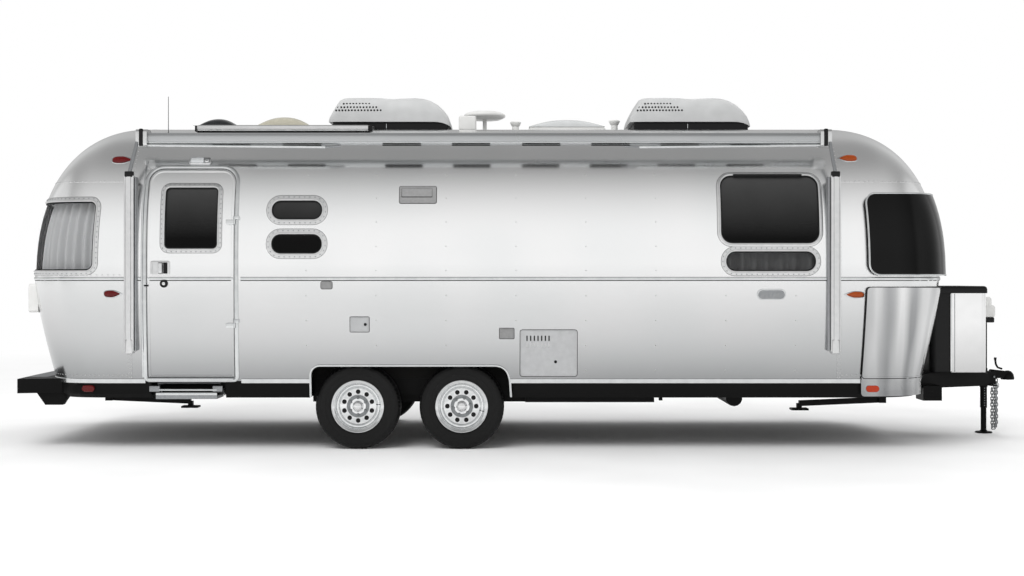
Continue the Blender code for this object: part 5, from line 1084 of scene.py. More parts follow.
# Covers in the door side
COVERS = [("access_large", (-0.162, 0.295, 0.591, 0.965, 0.02), DOORS),
          ("access_square", (-1.527, -1.375, 0.949, 1.069, 0.008), DOORS),
          ("access_small", (-0.328, -0.212, 0.895, 0.978, 0.006), GREY),
          ("outlet", (-1.760, -1.671, 1.295, 1.353, 0.012), GREY),
          ("badge", (1.736, 1.969, 1.206, 1.294, 0.044), PLATE),
          ("range_vent", (-1.134, -0.837, 1.983, 2.120, 0.012), GREY)]
COVER_RIM = [(-0.010, 0.0), (-0.010, 0.006), (-0.006, 0.0075), (-0.002, 0.0068), (0.0, 0.0035), (0.0, 0.0)]
# COVER_GAP is a dark strip round each cover's edge: painted shadow in its gap.
COVER_GAP = [(0.0, -0.0004), (0.0, 0.0011), (0.004, 0.0011), (0.004, -0.0004)]
SLOTS = {"access_large": [(-0.113 + 0.0295 * i, -0.102 + 0.0295 * i, low, low + 0.044, 0.004)
                          for low in (0.822, 0.876) for i in range(7)],
         "range_vent": [(-1.118, -0.870, 2.030, 2.105, 0.006)]}
for name, spec, mat in COVERS:
    slots = [outline_of(slot, corner=3) for slot in SLOTS.get(name, ())]
    cut = [z for z in WALL_LEVELS if spec[2] < z < spec[3]]
    settle(sheet_on(curb, outline_of(spec, -0.003), slots, 0.0, 0.004, (), cut), name + "_cover", mat, angle=None)
    settle(hoop(curb, spec, COVER_RIM), name + "_rim", TRIM if name == "badge" else mat)
    if name != "badge":
        settle(hoop(curb, spec, COVER_GAP), name + "_line", SEAL)
    # A black sheet behind the slots is painted shade for the dark space behind them.
    if slots:
        back = (spec[0] + 0.01, spec[1] - 0.01, spec[2] + 0.03, spec[3] - 0.01, 0.01)
        settle(sheet_on(curb, outline_of(back), (), 0.0, 0.0012), name + "_back", BLACK, angle=None)
flap = sheet_on(curb, outline_of((-1.115, -0.873, 2.037, 2.103, 0.004), corner=3), (), 0.001, 0.0035)
settle(flap, "range_vent_flap", GREY, angle=None)
for name, x, z in (("lock_large", 0.122, 0.708), ("lock_square", -1.405, 1.009)):
    lathe(name, BLACK, [(0.012, 0.0), (0.012, 0.006), (0.008, 0.008), (0.003, 0.008)], "-Y",
          (x, -half_width(z) - 0.003, z), 18)

# Wheels: one polished rim and one tyre, copied to the four places. Profiles are (radius, height) from the middle.
RIM = [(0.034, 0.062), (0.088, 0.056), (0.140, 0.056), (0.146, 0.0545), (0.156, 0.044), (0.163, 0.040), (0.172, 0.041),
       (0.176, 0.046), (0.180, 0.060), (0.184, 0.080), (0.188, 0.0865), (0.196, 0.090), (0.203, 0.097),
       (0.209, 0.0995), (0.212, 0.098), (0.213, 0.092), (0.2125, 0.089), (0.1963, 0.083), (0.1955, -0.083),
       (0.188, -0.090), (0.184, 0.030), (0.146, 0.044), (0.060, 0.044), (0.034, 0.044)]
SIDE_WALL = [(0.1966, 0.0820), (0.2128, 0.0884), (0.216, 0.0970), (0.222, 0.1000), (0.2225, 0.1010), (0.226, 0.1030),
             (0.245, 0.1075), (0.262, 0.1083), (0.2635, 0.1093), (0.2665, 0.1093), (0.268, 0.1083), (0.285, 0.1080),
             (0.302, 0.1062), (0.304, 0.1072), (0.311, 0.1056), (0.312, 0.1040), (0.325, 0.0990), (0.333, 0.0920),
             (0.338, 0.0860), (0.3405, 0.0750), (0.3425, 0.0640)]
HUB_CAP = [(0.044, 0.056), (0.0435, 0.066), (0.039, 0.070), (0.036, 0.072), (0.0355, 0.090), (0.033, 0.096),
           (0.026, 0.0995), (0.024, 0.0985), (0.010, 0.1000), (0.002, 0.1002)]
NUT = [(0.0125, 0.055), (0.0125, 0.060), (0.0110, 0.061), (0.0110, 0.076), (0.0085, 0.080), (0.003, 0.081)]
GROOVES = (0.0520, 0.0180)
TREAD_STEPS = 300
AT_HUB = (0, 0, 0)


def make_tyre():
    """A tyre with round grooves; every fifth step of the shoulder and the middle rib is cut or pushed over."""
    half = list(SIDE_WALL)
    for middle in GROOVES:
        half += [(0.3430, middle + 0.0045), (0.3360, middle + 0.0030), (0.3360, middle - 0.0030),
                 (0.3430, middle - 0.0045)]
    take_up(turned(half + [(r, -h) for r, h in reversed(half)], "Z", AT_HUB, TREAD_STEPS, closed=True))
    bpy.ops.object.mode_set(mode="EDIT")

    def phase(p):
        return round((math.atan2(p.y, p.x) / math.tau) % 1.0 * TREAD_STEPS) % 5

    pick(lambda p, d: phase(p) in (0, 1) and 0.058 < abs(p.z) < 0.094 and math.hypot(p.x, p.y) > 0.330, "VERT")
    bpy.ops.transform.resize(value=(0.985, 0.985, 1), center_override=AT_HUB)
    pick(lambda p, d: abs(p.z) < 0.057 and phase(p) in (1, 2, 3) and math.hypot(p.x, p.y) > 0.33, "VERT")
    bpy.ops.transform.translate(value=(0, 0, 0.0022))
    return in_hand()


def make_rim():
    rim = turned(RIM, "Z", AT_HUB, 80, closed=True)
    holes = []
    for i in range(10):
        a = math.tau * (i + 2.5) / 10
        lay_down()
        bpy.ops.mesh.primitive_cylinder_add(vertices=20, radius=0.019, depth=0.1,
                                            location=(0.117 * math.cos(a), 0.117 * math.sin(a), 0.05))
        holes.append(bpy.context.object)
    holes = merge(holes)
    take_up(rim)
    cut = rim.modifiers.new("holes", "BOOLEAN")
    cut.operation, cut.solver, cut.object = "DIFFERENCE", "EXACT", holes
    bpy.ops.object.modifier_apply(modifier=cut.name)
    bpy.data.objects.remove(holes, do_unlink=True)
    soften(rim, 0.0011, 50)
    bpy.ops.object.modifier_apply(modifier="eased_edges")
    return rim


def make_nuts():
    """Six lug nuts on their flange."""
    parts = []
    for i in range(6):
        a = math.tau * (i + 0.5) / 6
        parts.append(turned(NUT, "Z", (0.068 * math.cos(a), 0.068 * math.sin(a), 0), 12))
    parts.append(turned([(0.092, 0.0560), (0.090, 0.0585), (0.048, 0.0590), (0.046, 0.0560)], "Z", AT_HUB, 40,
                        closed=True))
    return merge(parts)


# The black disc behind the rim is painted shade: it darkens the holes as the drum and its shadow would.
wheel_set = [
    (make_tyre(), "tyre_tread", RUBBER, "tyre_"), (make_rim(), "rim_polished", ALLOY, "rim_"),
    (turned(HUB_CAP, "Z", AT_HUB, 40), "hub_cap", CHROME, ""), (make_nuts(), "lug_nuts", ZINC, ""),
    (turned([(0.0035, 0.045), (0.0035, 0.062), (0.0028, 0.064)], "Z", (0.170, 0.012, 0), 10), "valve", BLACK, ""),
    (turned([(0.090, 0.041), (0.152, 0.041), (0.152, 0.038), (0.090, 0.038)], "Z", AT_HUB, 40, closed=True),
     "dust_shield", BLACK, "")]
for row, x, rolled in WHEELS:
    for side, tail in SIDES:
        turn = Matrix.Rotation(math.radians(rolled), 4, "Y") @ Matrix.Rotation(math.pi / 2 * -side, 4, "X")
        where = "%s_%s" % (row, tail)
        for piece, name, mat, node in wheel_set:
            settle(copy_to(piece, (x, side * WHEEL_Y, TYRE_R), turn), "%s_%s" % (name, where), mat, "wheel_" + where,
                   node + where if node else (), angle=32)
for piece, *_ in wheel_set:
    bpy.data.objects.remove(piece, do_unlink=True)

# Roof. The hood's stations are (share of its length, height, share of its width).
HOOD = [(0.0, 0.030, 0.90), (0.008, 0.062, 0.93), (0.030, 0.110, 0.955), (0.062, 0.172, 0.975), (0.085, 0.208, 0.985),
        (0.110, 0.222, 0.99), (0.150, 0.228, 1.0), (0.30, 0.230, 1.0), (0.42, 0.2275, 1.0), (0.48, 0.221, 1.0),
        (0.53, 0.219, 1.0), (0.60, 0.224, 1.0), (0.70, 0.228, 1.0), (0.77, 0.222, 1.0), (0.83, 0.204, 0.995),
        (0.89, 0.168, 0.985), (0.94, 0.118, 0.965), (0.975, 0.068, 0.94), (0.992, 0.020, 0.915), (1.0, -0.024, 0.89)]
HOOD_Z = ROOF_Z + 0.076
HOOD_HALF = 0.355
HOOD_POWER = 4.6


def arch_row(x, half, low, top, power, count):
    """Points over a rounded arch across the body."""
    row = []
    for i in range(count + 1):
        c, n = math.cos(math.pi * i / count), math.sin(math.pi * i / count)
        row.append(Vector((x, -half * math.copysign(abs(c) ** power, c), low + (top - low) * abs(n) ** power)))
    return row


for where, x0, x1 in (("rear", -1.825, -0.765), ("front", 0.800, 1.850)):
    rows = []
    for s, high, wide in HOOD:
        low = HOOD_Z - 0.038 * max((s - 0.88) / 0.12, 0.0) ** 2
        rows.append(arch_row(x0 + (x1 - x0) * s, HOOD_HALF * wide, low, max(HOOD_Z + high, low + 0.004),
                             2 / HOOD_POWER, 32))
    settle(weave(rows, around=False), "air_hood_" + where, SHROUD, replaces="air_unit_" + where, angle=40)
    boxes("air_base_" + where, BLACK, [((x0 + 0.035, -0.33, ROOF_Z), (x1 - 0.02, 0.33, HOOD_Z + 0.004))], 0.012, 3)
    # The vents are dark domes, not holes: their black is painted shade for the openings.
    dots = []
    for z, first, last in ((0.158, 0.098, 0.360), (0.127, 0.078, 0.410), (0.100, 0.062, 0.455)):
        for s in every(0.0262, first, last):
            high = 0.226 - max(0.12 - s, 0.0) * 1.2
            y = HOOD_HALF * max(1 - (z / high) ** HOOD_POWER, 0.0) ** (1 / HOOD_POWER)
            dots += [(Vector((x0 + (x1 - x0) * s, side * y, HOOD_Z + z)), Vector((0, side, 0.18)).normalized())
                     for side in (-1, 1)]
    rivet_rows("air_vents_" + where, dots, 0.0088, 0.0024, mat=SEAL)
    boxes("air_base_clip_" + where, TRIM, [((x0 + 0.50, y, ROOF_Z + 0.02), (x0 + 0.505, y + 0.006, ROOF_Z + 0.06))
                                           for y in (-0.337, 0.331)], 0.001, 1)

DOMES = [("roof_vent_rear", -3.02, -2.655, 0.134, SMOKE), ("roof_vent_mid", -2.50, -2.00, 0.149, CREAM),
         ("skylight", -0.081, 0.595, 0.124, OPAL)]
for name, x0, x1, high, mat in DOMES:
    half = min((x1 - x0) / 2, 0.21)
    block((x0, -half, ROOF_Z + 0.0005), (x1, half, ROOF_Z + 0.034), 0.02, 4, upright)
    pick(lambda p, d: d.z > 0.9)
    bpy.ops.mesh.inset(thickness=0.012, depth=0.0)
    extrude(0, 0, 0.022)
    settle(in_hand(), name + "_curb_frame", WHITE, replaces=name)
    rows = []
    for k in range(25):
        u = math.sin((k / 12 - 1) * math.pi / 2) * 0.998
        crown = ROOF_Z + 0.058 + (high - 0.058) * (1 - abs(u) ** 2.2)
        rows.append(arch_row((x0 + x1) / 2 + u * (x1 - x0 - 0.008) / 2, half - 0.004, ROOF_Z + 0.050, crown, 0.75, 24))
    settle(weave(rows, around=False), name + "_dome", mat, angle=50)

block((-2.884, -0.876, 2.6940), (-2.744, -0.736, 2.6958), 0.012, 1, upright)
first = in_hand()
cells = merge([copy_to(first, (0.1464 * i, 0.148 * j, 0)) for i in range(10) for j in range(3)])
bpy.data.objects.remove(first, do_unlink=True)
block((-2.848, -0.900, 2.651), (-1.420, -0.420, 2.693), 0.002, 2)
pick(lambda p, d: d.z > 0.9 and p.z > 2.69)
bpy.ops.mesh.inset(thickness=0.018, depth=0.0)
extrude(0, 0, -0.003)
panel = in_hand()
far_edge = Vector((0, -0.42, 2.695))
lean = Matrix.Translation(far_edge) @ Matrix.Rotation(math.radians(5.6), 4, "X") @ Matrix.Translation(-far_edge)
for piece, name, mat, node in ((cells, "solar_cells", CELLS, ()), (panel, "solar_frame", FRAME, "solar_panel")):
    piece.data.transform(lean)
    settle(piece, name, mat, replaces=node)
feet = [((x, y, low), (x + 0.05, y + 0.04, top)) for x in (-2.85, -1.508)
        for y, low, top in ((-0.86, 2.535, 2.612), (-0.50, 2.620, 2.645))]
ends = [((x0, -0.905, 2.598), (x1, -0.850, 2.648)) for x0, x1 in ((-2.860, -2.846), (-1.422, -1.388))]
boxes("solar_feet", BLACK, feet + ends, 0.003, 2)

DISC = [(0.050, 0.0005), (0.050, 0.010), (0.024, 0.024), (0.018, 0.034), (0.018, 0.132), (0.060, 0.136),
        (0.140, 0.140), (0.176, 0.156), (0.185, 0.166), (0.186, 0.174), (0.182, 0.184), (0.165, 0.196), (0.12, 0.207),
        (0.06, 0.2125), (0.003, 0.214)]
lathe("disc_antenna_shell", WHITE, DISC, "Z", (-0.473, 0.05, ROOF_Z), 56, replaces="disc_antenna")
for i, (x, high) in enumerate(((-0.196, 0.117), (0.688, 0.129))):
    cap = [(0.040, 0.0005), (0.032, 0.012), (0.030, 0.030), (0.030, high - 0.045), (0.036, high - 0.040),
           (0.050, high - 0.014), (0.050, high - 0.008), (0.044, high - 0.002), (0.004, high + 0.001)]
    lathe("pipe_cap_%d" % i, WHITE, cap, "Z", (x, 0, ROOF_Z), 32)
boxes("sensor_box", WHITE, [((-0.690, -0.385, ROOF_Z), (-0.540, -0.235, ROOF_Z + 0.125))], 0.014, 4)
lathe("whip_antenna_rod", BLACK, [(0.022, 0.0), (0.022, 0.030), (0.014, 0.038), (0.008, 0.060), (0.0028, 0.075),
                                  (0.0022, 0.370)], "Z", (-3.105, -0.80, 2.5305), 16, replaces="whip_antenna")

# Awning: a cover of one section along its length, castings at its ends, rafters and arms.
TUBE_Y, TUBE_Z, TUBE_R = -1.190, 2.510, 0.047
TUBE_X = (-3.20, 2.30)
section = []
for i in range(40):
    a = math.radians(-78 + i * 8.55)
    section.append((TUBE_Y + TUBE_R * math.sin(a), TUBE_Z + TUBE_R * math.cos(a)))
section = [p for p in section if not (p[1] < TUBE_Z - 0.018 and p[0] < TUBE_Y + 0.008)]
section += [(TUBE_Y + y, TUBE_Z + z) for y, z in ((0.010, -0.0460), (0.010, -0.0540), (-0.012, -0.0540),
                                                  (-0.012, -0.0485), (-0.026, -0.0470), (-0.034, -0.0400),
                                                  (-0.047, -0.0200))]
cover = weave([[Vector((x, y, z)) for y, z in section] for x in TUBE_X], around=False)
settle(cover, "awning_cover", AWNING, replaces="awning_roller", angle=25)
rod("awning_lead_edge", TRIM, [(x, TUBE_Y - 0.036, TUBE_Z - 0.036) for x in TUBE_X], 0.005, 12)
boxes("awning_seal_lengths", SEAL,
      [((x, TUBE_Y - 0.044, TUBE_Z - 0.0585), (x + 0.31, TUBE_Y + 0.006, TUBE_Z - 0.0535))
       for x in (-1.27419, -0.71460, -0.14690, 0.41269, -2.64478, -2.07708, 0.97228, 1.53998)], 0.0015, 1)
for where, x0, far, step in (("rear", -3.255, -1.733, 1), ("front", 2.255, 0.799, -1)):
    block((x0, TUBE_Y - 0.070, TUBE_Z - 0.070), (x0 + 0.09, TUBE_Y + 0.070, TUBE_Z + 0.070), 0.026, 5, lengthwise)
    pick(lambda p, d: abs(d.x) > 0.9)
    bpy.ops.mesh.inset(thickness=0.010, depth=-0.004)
    settle(in_hand(), "awning_casting_" + where, FRAME)
    boxes("awning_casting_plate_" + where, BLACK,
          [((x0 + 0.026, TUBE_Y - 0.078, TUBE_Z - 0.066), (x0 + 0.060, TUBE_Y - 0.052, TUBE_Z + 0.074))], 0.010, 3)
    rod("awning_rafter_" + where, TRIM, [(x0 + 0.045, TUBE_Y - 0.030, 2.453), (far, TUBE_Y - 0.030, 2.440)], 0.013, 20)
    rod("awning_knuckle_" + where, PLATE,
        [(far - step * 0.02, TUBE_Y - 0.030, 2.4400), (far + step * 0.045, TUBE_Y - 0.030, 2.4415),
         (far + step * 0.12, TUBE_Y - 0.022, 2.4480)], 0.009, 12)

# The arm's section is (along, off the wall's widest).
ARM = [(-0.040, 0.002), (-0.040, 0.040), (-0.037, 0.0448), (-0.030, 0.0455), (-0.028, 0.037), (-0.015, 0.037),
       (-0.013, 0.0460), (0.013, 0.0460), (0.015, 0.037), (0.028, 0.037), (0.030, 0.0455), (0.037, 0.0448),
       (0.040, 0.040), (0.040, 0.002)]
for where, x, toe, rail in (("rear", -3.290, 0.045, (0.042, 0.058)), ("front", 2.360, -0.030, (-0.064, -0.042))):
    name = "awning_arm_" + where
    rows = [[Vector((x + dx, -SIDE_Y - out, z)) for dx, out in ARM] for z in (0.796, 2.200)]
    settle(weave(rows, around=False), name + "_channel", FRAME, replaces=name, angle=25)
    boxes(name + "_cap", BLACK, [((x - 0.034, -1.338, 2.190), (x + 0.034, -1.289, 2.235))], 0.008, 3)
    rod(name + "_strut", PLATE, [(x, -1.312, 2.225), (x + toe, TUBE_Y - 0.062, TUBE_Z - 0.035)], 0.015, 16)
    boxes(name + "_foot", FRAME, [((x - 0.030, -1.3345, 0.775), (x + 0.030, -1.262, 0.890))], 0.010, 3)
    boxes("awning_rail_" + where, PLATE, [((x + rail[0], -1.3180, 0.800), (x + rail[1], -1.262, 2.190))], 0.004, 3)
DRIP = ((-3.203, 0.0), (-3.203, 0.008), (-3.200, 0.011), (-3.190, 0.011), (-3.187, 0.008), (-3.187, 0.0))
rows = [[curb(x, z, out) for x, out in DRIP]
        for z in [0.585, 0.7, 0.85, 1.0, 1.15, 1.3, 1.374] + [1.374 + i * 0.08 for i in range(1, 13)]]
settle(weave(rows, around=False), "drip_rail", TRIM, angle=30)
hinge_bar = sheet_on(curb, outline_of((1.560, 2.114, 2.196, 2.216, 0.005)), (), 0.006, 0.0165)
settle(hinge_bar, "main_hinge_bar_curb", SEAL, angle=30)


# Tongue: bottle cover and lid, jack, coupler, chains.
def open_tray(name, low, high, mat, test, replaces=()):
    """A thin-walled cover open below and above: a block with two corners rounded, its walls inwards."""
    block(low, high, 0.06, 8, test)
    pick(lambda p, d: abs(d.z) > 0.9)
    bpy.ops.mesh.delete(type="FACE")
    piece = in_hand()
    thick = piece.modifiers.new("wall", "SOLIDIFY")
    thick.thickness = 0.004
    thick.offset = -1
    settle(piece, name, mat, replaces=replaces, angle=40)


open_tray("gas_cover_front", (3.5960, -0.345, 0.5605), (3.913, 0.345, 1.2498), COVER_SHEET,
          lambda p, d: upright(p, d) and p.x > 3.9, "gas_cover")
# The rear part is closed and black where the real cover is open: its black stands partly for the dark bottles and
# frame, partly as painted shade.
open_tray("gas_cover_rear", (3.420, -0.338, 0.5605), (3.5955, 0.338, 1.2498), BLACK,
          lambda p, d: upright(p, d) and p.x < 3.43)
for name, mat, x0, x1, out in (("gas_cover_strips", CHROME, 3.5880, 3.6020, 0.3490),
                               ("gas_cover_lines", PLATE, 3.6220, 3.6290, 0.3462)):
    boxes(name, mat, [((x0, y0, 0.566), (x1, y1, 1.246)) for y0, y1 in ((-out, -0.343), (0.343, out))], 0.0012, 2)
block((3.405, -0.360, 1.2503), (3.913, 0.360, 1.3130), 0.030, 5, lambda p, d: p.z > 1.30 or upright(p, d))
pick(lambda p, d: d.z > 0.9 and p.z > 1.312)
bpy.ops.mesh.inset(thickness=0.035, depth=-0.004)
pick(lambda p, d: d.z < -0.9)
bpy.ops.mesh.inset(thickness=0.016, depth=0.0)
extrude(0, 0, 0.040)
settle(in_hand(), "gas_lid_moulding", BLACK, "gas_lid", "gas_lid")

JACK_X = 3.994
lathe("jack_sleeve", COAT, [(0.030, 0.0), (0.030, 0.18), (0.034, 0.185), (0.034, 0.35), (0.030, 0.355), (0.030, 0.765)],
      "Z", (JACK_X, 0, 0.225), 28, replaces="jack_post")
rivet_rows("jack_sleeve_holes", [(Vector((JACK_X, -0.0297, 0.245 + 0.022 * i)), Vector((0, -1, 0))) for i in range(8)],
           0.0055, 0.0012, mat=ZINC)
boxes("jack_gear_case", BLACK, [((JACK_X - 0.034, -0.045, 0.985), (JACK_X + 0.084, 0.045, 1.032))], 0.010, 3)
parts = []
for x0, x1, half, z0, z1, soft in ((-0.042, 0.095, 0.050, 1.030, 1.140, 0.026),
                                   (-0.036, 0.066, 0.044, 1.080, 1.215, 0.030)):
    block((JACK_X + x0, -half, z0), (JACK_X + x1, half, z1), soft, 6)
    parts.append(in_hand())
settle(merge(parts), "jack_head", WHITE)
lathe("jack_leg_tube", COAT, [(0.075, 0.0005), (0.075, 0.0065), (0.070, 0.010), (0.036, 0.013), (0.030, 0.022),
                              (0.0245, 0.024), (0.0245, 0.70)], "Z", (JACK_X, 0, 0), 36, "jack_leg", "jack_leg")


def make_link():
    """One link of the chains: a ring whose halves are drawn apart."""
    lay_down()
    bpy.ops.mesh.primitive_torus_add(major_radius=0.0122, minor_radius=0.0050, major_segments=16, minor_segments=7,
                                     rotation=(math.pi / 2, 0, 0))
    bpy.ops.object.transform_apply(location=False, rotation=True, scale=False)
    bpy.ops.object.mode_set(mode="EDIT")
    for way in (1, -1):
        pick(lambda p, d: way * p.z > 0.0001, "VERT")
        bpy.ops.transform.translate(value=(0, 0, way * 0.0055))
    return in_hand()


def chain(name, link, path, pitch=0.0266):
    """Links along a path, each turned a quarter from the last."""
    placed = []
    walked = want = 0.0
    for a, b in zip(path, path[1:]):
        a, b = Vector(a), Vector(b)
        long = (b - a).length
        aim = (b - a).to_track_quat("Z", "X").to_matrix().to_4x4()
        while want <= walked + long:
            count = len(placed)
            spin = Matrix.Rotation(math.radians(90 * (count % 2) + 12 * math.sin(count * 1.7)), 4, "Z")
            placed.append(copy_to(link, a + (b - a) * ((want - walked) / long), aim @ spin))
            want += pitch
        walked += long
    settle(merge(placed), name, ZINC)


link = make_link()
chain("safety_chain_near", link, [(x, -0.108, z) for x, z in ((4.058, 0.418), (4.057, 0.070), (4.050, 0.052),
                                                              (4.040, 0.052), (4.034, 0.070), (4.032, 0.418))])
chain("safety_chain_far", link, [(4.118, 0.030, 0.462), (4.119, 0.030, 0.050)])
bpy.data.objects.remove(link, do_unlink=True)
boxes("safety_chain_bracket", COAT, [((4.016, -0.122, 0.424), (4.074, -0.040, 0.434))], 0.002, 2)
rod("chain_hook", CHROME, [(x, 0.030, z) for x, z in ((4.112, 0.452), (4.126, 0.444), (4.140, 0.428), (4.142, 0.408),
                                                      (4.130, 0.394), (4.114, 0.398), (4.108, 0.412))], 0.006, 12)
block((4.050, -0.040, 0.488), (4.215, 0.040, 0.566), 0.012, 3)
pick(lambda p, d: p.x > 4.18 and p.z > 0.53, "VERT")
bpy.ops.transform.translate(value=(0, 0, -0.016))
channel = in_hand()
dome = turned([(0.057, 0.0), (0.0585, 0.004), (0.0585, 0.018), (0.053, 0.042), (0.044, 0.060), (0.030, 0.073),
               (0.014, 0.079), (0.003, 0.080)], "Z", (4.208, 0, 0.4755), 32)
settle(merge([channel, dome]), "coupler_casting", COAT, replaces="coupler")
rod("coupler_lever", COAT, [(4.160, 0, 0.570), (4.120, 0, 0.582), (4.104, 0, 0.612), (4.098, 0, 0.655)], 0.009, 12)
rod("coupler_lever_grip", BLACK, [(4.098, 0, 0.652), (4.100, 0, 0.672)], 0.012, 16)
rivet_rows("frame_bolts", [(Vector(spot_at), Vector((0.3, -0.95, 0)).normalized()) for spot_at in (
    (3.90, -0.118, 0.49), (3.98, -0.098, 0.49), (4.06, -0.085, 0.505), (3.2, -0.42, 0.49), (3.3, -0.385, 0.49))],
    0.010, 0.006, mat=ZINC)

# Step, door sill and the rear bumper's catches
rod("step_sill_bar", TRIM, [(-3.070, -1.236, 0.481), (-2.605, -1.236, 0.481)], 0.009, 16)
boxes("step_brackets", PLATE, [((x0, -1.240, 0.466), (x1, -1.214, 0.512))
                               for x0, x1 in ((-3.150, -3.066), (-2.640, -2.560))], 0.004, 2)
boxes("step_nosing", TRIM, [((-3.101, -1.2228, 0.436), (-2.609, -1.2200, 0.4562))], 0.0012, 2, "step_tread")
boxes("step_grip", SEAL, [((-3.080, -1.196 + i * 0.025, 0.4292), (-2.630, -1.184 + i * 0.025, 0.4325))
                          for i in range(9)], 0.001, 1, "step_tread")
SILL = [(0.566, 0.004), (0.566, 0.030), (0.570, 0.034), (0.578, 0.034), (0.580, 0.030), (0.580, 0.004)]
settle(girdle(side_run(-1, [-3.150, -2.465]), SILL), "door_sill", TRIM)
boxes("bumper_catches", ZINC, [((-4.2745, y - 0.03, 0.530), (-4.2655, y + 0.03, 0.556)) for y in (-0.62, 0.62)],
      0.003, 2)


# Finishes of the frame's own pieces that stay in sight, some with their edges eased to catch the light.
def dress(mat, *names, soft=0.0):
    for name in names:
        node = NODES[name]
        if node.material_slots:
            node.material_slots[0].material = mat
        else:
            node.data.materials.append(mat)
        if soft:
            soften(node, soft, 40)


dress(GLASS, "front_glass")
dress(COAT, "a_frame", "underframe", "underframe_rear", "axle_rear", "axle_front", "bumper", soft=0.002)
dress(COAT, *("stabiliser_%s_%s" % (row, tail) for row in ("rear", "front") for _, tail in SIDES), soft=0.0015)
dress(PLATE, "bumper_lid", "step_tread", "step_arms", soft=0.0015)
dress(BOARD, "floor")


# Studio: a white room that grows darker overhead, so that the metal shows its form.
def set_stops(ramp, stops):
    """Grey levels along a ramp."""
    dots = ramp.color_ramp.elements
    dots[0].position, dots[1].position = stops[0][0], stops[-1][0]
    for place, _ in stops[1:-1]:
        dots.new(place)
    for dot, (_, level) in zip(dots, stops):
        dot.color = (level, level, level, 1)


def studio():
    world = bpy.data.worlds.new("studio")
    bpy.context.scene.world = world
    world.use_nodes = True
    tree = world.node_tree
    tree.nodes.clear()
    way = add(tree, "ShaderNodeTexCoord")
    split = add(tree, "ShaderNodeSeparateXYZ", [("Vector", way, "Generated")])
    ramp = add(tree, "ShaderNodeValToRGB", [("Fac", split, "Z")])
    set_stops(ramp, [(0.0, 0.95), (0.10, 1.0), (0.20, 0.97), (0.36, 0.85), (0.53, 0.70), (0.73, 0.50), (0.90, 0.33),
                     (1.0, 0.29)])
    sideways = add(tree, "ShaderNodeMath", [(0, split, "X")], operation="ABSOLUTE")
    flags = add(tree, "ShaderNodeValToRGB", [("Fac", sideways, "Value")])
    set_stops(flags, [(0.0, 1.0), (0.50, 1.0), (0.64, 0.80), (0.76, 0.60), (0.83, 1.0), (0.90, 0.95), (1.0, 0.62)])
    both = multiplied(tree, (ramp, "Color"), (flags, "Color"))
    behind = add(tree, "ShaderNodeValToRGB", [("Fac", split, "Y")])
    set_stops(behind, [(0.0, 1.0), (0.62, 1.0), (0.84, 0.66), (1.0, 0.36)])
    dim, colour = multiplied(tree, both, (behind, "Color"))
    path = add(tree, "ShaderNodeLightPath")
    lit = add(tree, "ShaderNodeMix", [("Factor", path, "Is Glossy Ray"), (7, dim, colour)], data_type="RGBA")
    lit.inputs[6].default_value = (0.80, 0.80, 0.80, 1)
    seen = add(tree, "ShaderNodeMath", operation="MAXIMUM")
    tree.links.new(path.outputs["Is Camera Ray"], seen.inputs[0])
    tree.links.new(path.outputs["Is Transmission Ray"], seen.inputs[1])
    shown = add(tree, "ShaderNodeMix", [("Factor", seen, "Value")], data_type="RGBA")
    tree.links.new(lit.outputs[2], shown.inputs[6])
    shown.inputs[7].default_value = (1, 1, 1, 1)
    glow = add(tree, "ShaderNodeBackground", Strength=1.0)
    tree.links.new(shown.outputs[2], glow.inputs["Color"])
    out = add(tree, "ShaderNodeOutputWorld")
    tree.links.new(glow.outputs["Background"], out.inputs["Surface"])


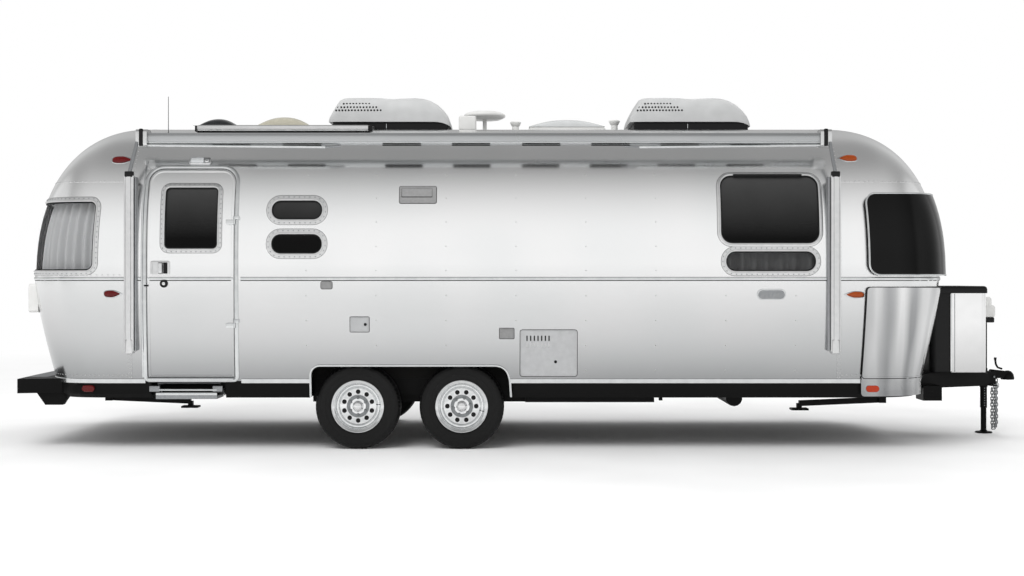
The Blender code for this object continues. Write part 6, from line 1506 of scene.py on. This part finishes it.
def lamp(name, place, aim, size, power):
    data = bpy.data.lights.new(name, "AREA")
    data.shape = "RECTANGLE"
    data.size, data.size_y = size
    data.energy = power
    holder = bpy.data.objects.new(name, data)
    bpy.context.collection.objects.link(holder)
    holder.location = place
    holder.visible_glossy = False
    holder.rotation_euler = (Vector(aim) - Vector(place)).to_track_quat("-Z", "Y").to_euler()


def stage_floor():
    """A pale matt floor that keeps the shadow near the body and runs into the white room farther off."""
    lay_down()
    bpy.ops.mesh.primitive_circle_add(vertices=96, radius=120, fill_type="NGON", location=(0, 0, -0.002))
    bpy.ops.object.transform_apply(location=True, rotation=False, scale=False)
    ground = bpy.context.object
    ground.name = "floor_stage"
    mat = finish("matt_white_floor", "#f6f6f6", "#fbfbfb", 900, (0.85, 0.95), detail=1.0)
    tree = mat.node_tree
    place = add(tree, "ShaderNodeTexCoord")
    far = add(tree, "ShaderNodeVectorMath", [(0, place, "Object")], operation="LENGTH")
    white = add(tree, "ShaderNodeMapRange", [("Value", far, "Value")], From_Min=6.5, From_Max=16.0)
    path = add(tree, "ShaderNodeLightPath")
    seen = add(tree, "ShaderNodeMath", [(0, path, "Is Camera Ray"), (1, path, "Is Glossy Ray")], operation="MAXIMUM")
    clear = add(tree, "ShaderNodeMath", [(0, seen, "Value"), (1, white, "Result")], operation="MULTIPLY")
    glow = add(tree, "ShaderNodeEmission", Strength=1.0)
    blend = add(tree, "ShaderNodeMixShader", [(0, clear, "Value"), (1, tree.nodes["Principled BSDF"], "BSDF"),
                                              (2, glow, "Emission")])
    tree.links.new(blend.outputs["Shader"], tree.nodes["Material Output"].inputs["Surface"])
    ground.data.materials.append(mat)


studio()
lamp("key", (-5.0, -9.0, 11.0), (0, 0, 1.0), (9.0, 7.0), 900)
lamp("fill", (6.0, 9.0, 11.0), (0.5, 0, 1.0), (9.0, 7.0), 700)
stage_floor()

camera = bpy.data.objects.new("camera", bpy.data.cameras.new("camera"))
bpy.context.collection.objects.link(camera)
camera.location = (-0.228, -12.34, 1.374)
camera.rotation_euler = (math.pi / 2, 0, 0)
camera.data.lens = 48.45
camera.data.sensor_width = 36
camera.data.shift_y = -0.0088
bpy.context.scene.camera = camera
bpy.context.scene.view_settings.view_transform = "Standard"
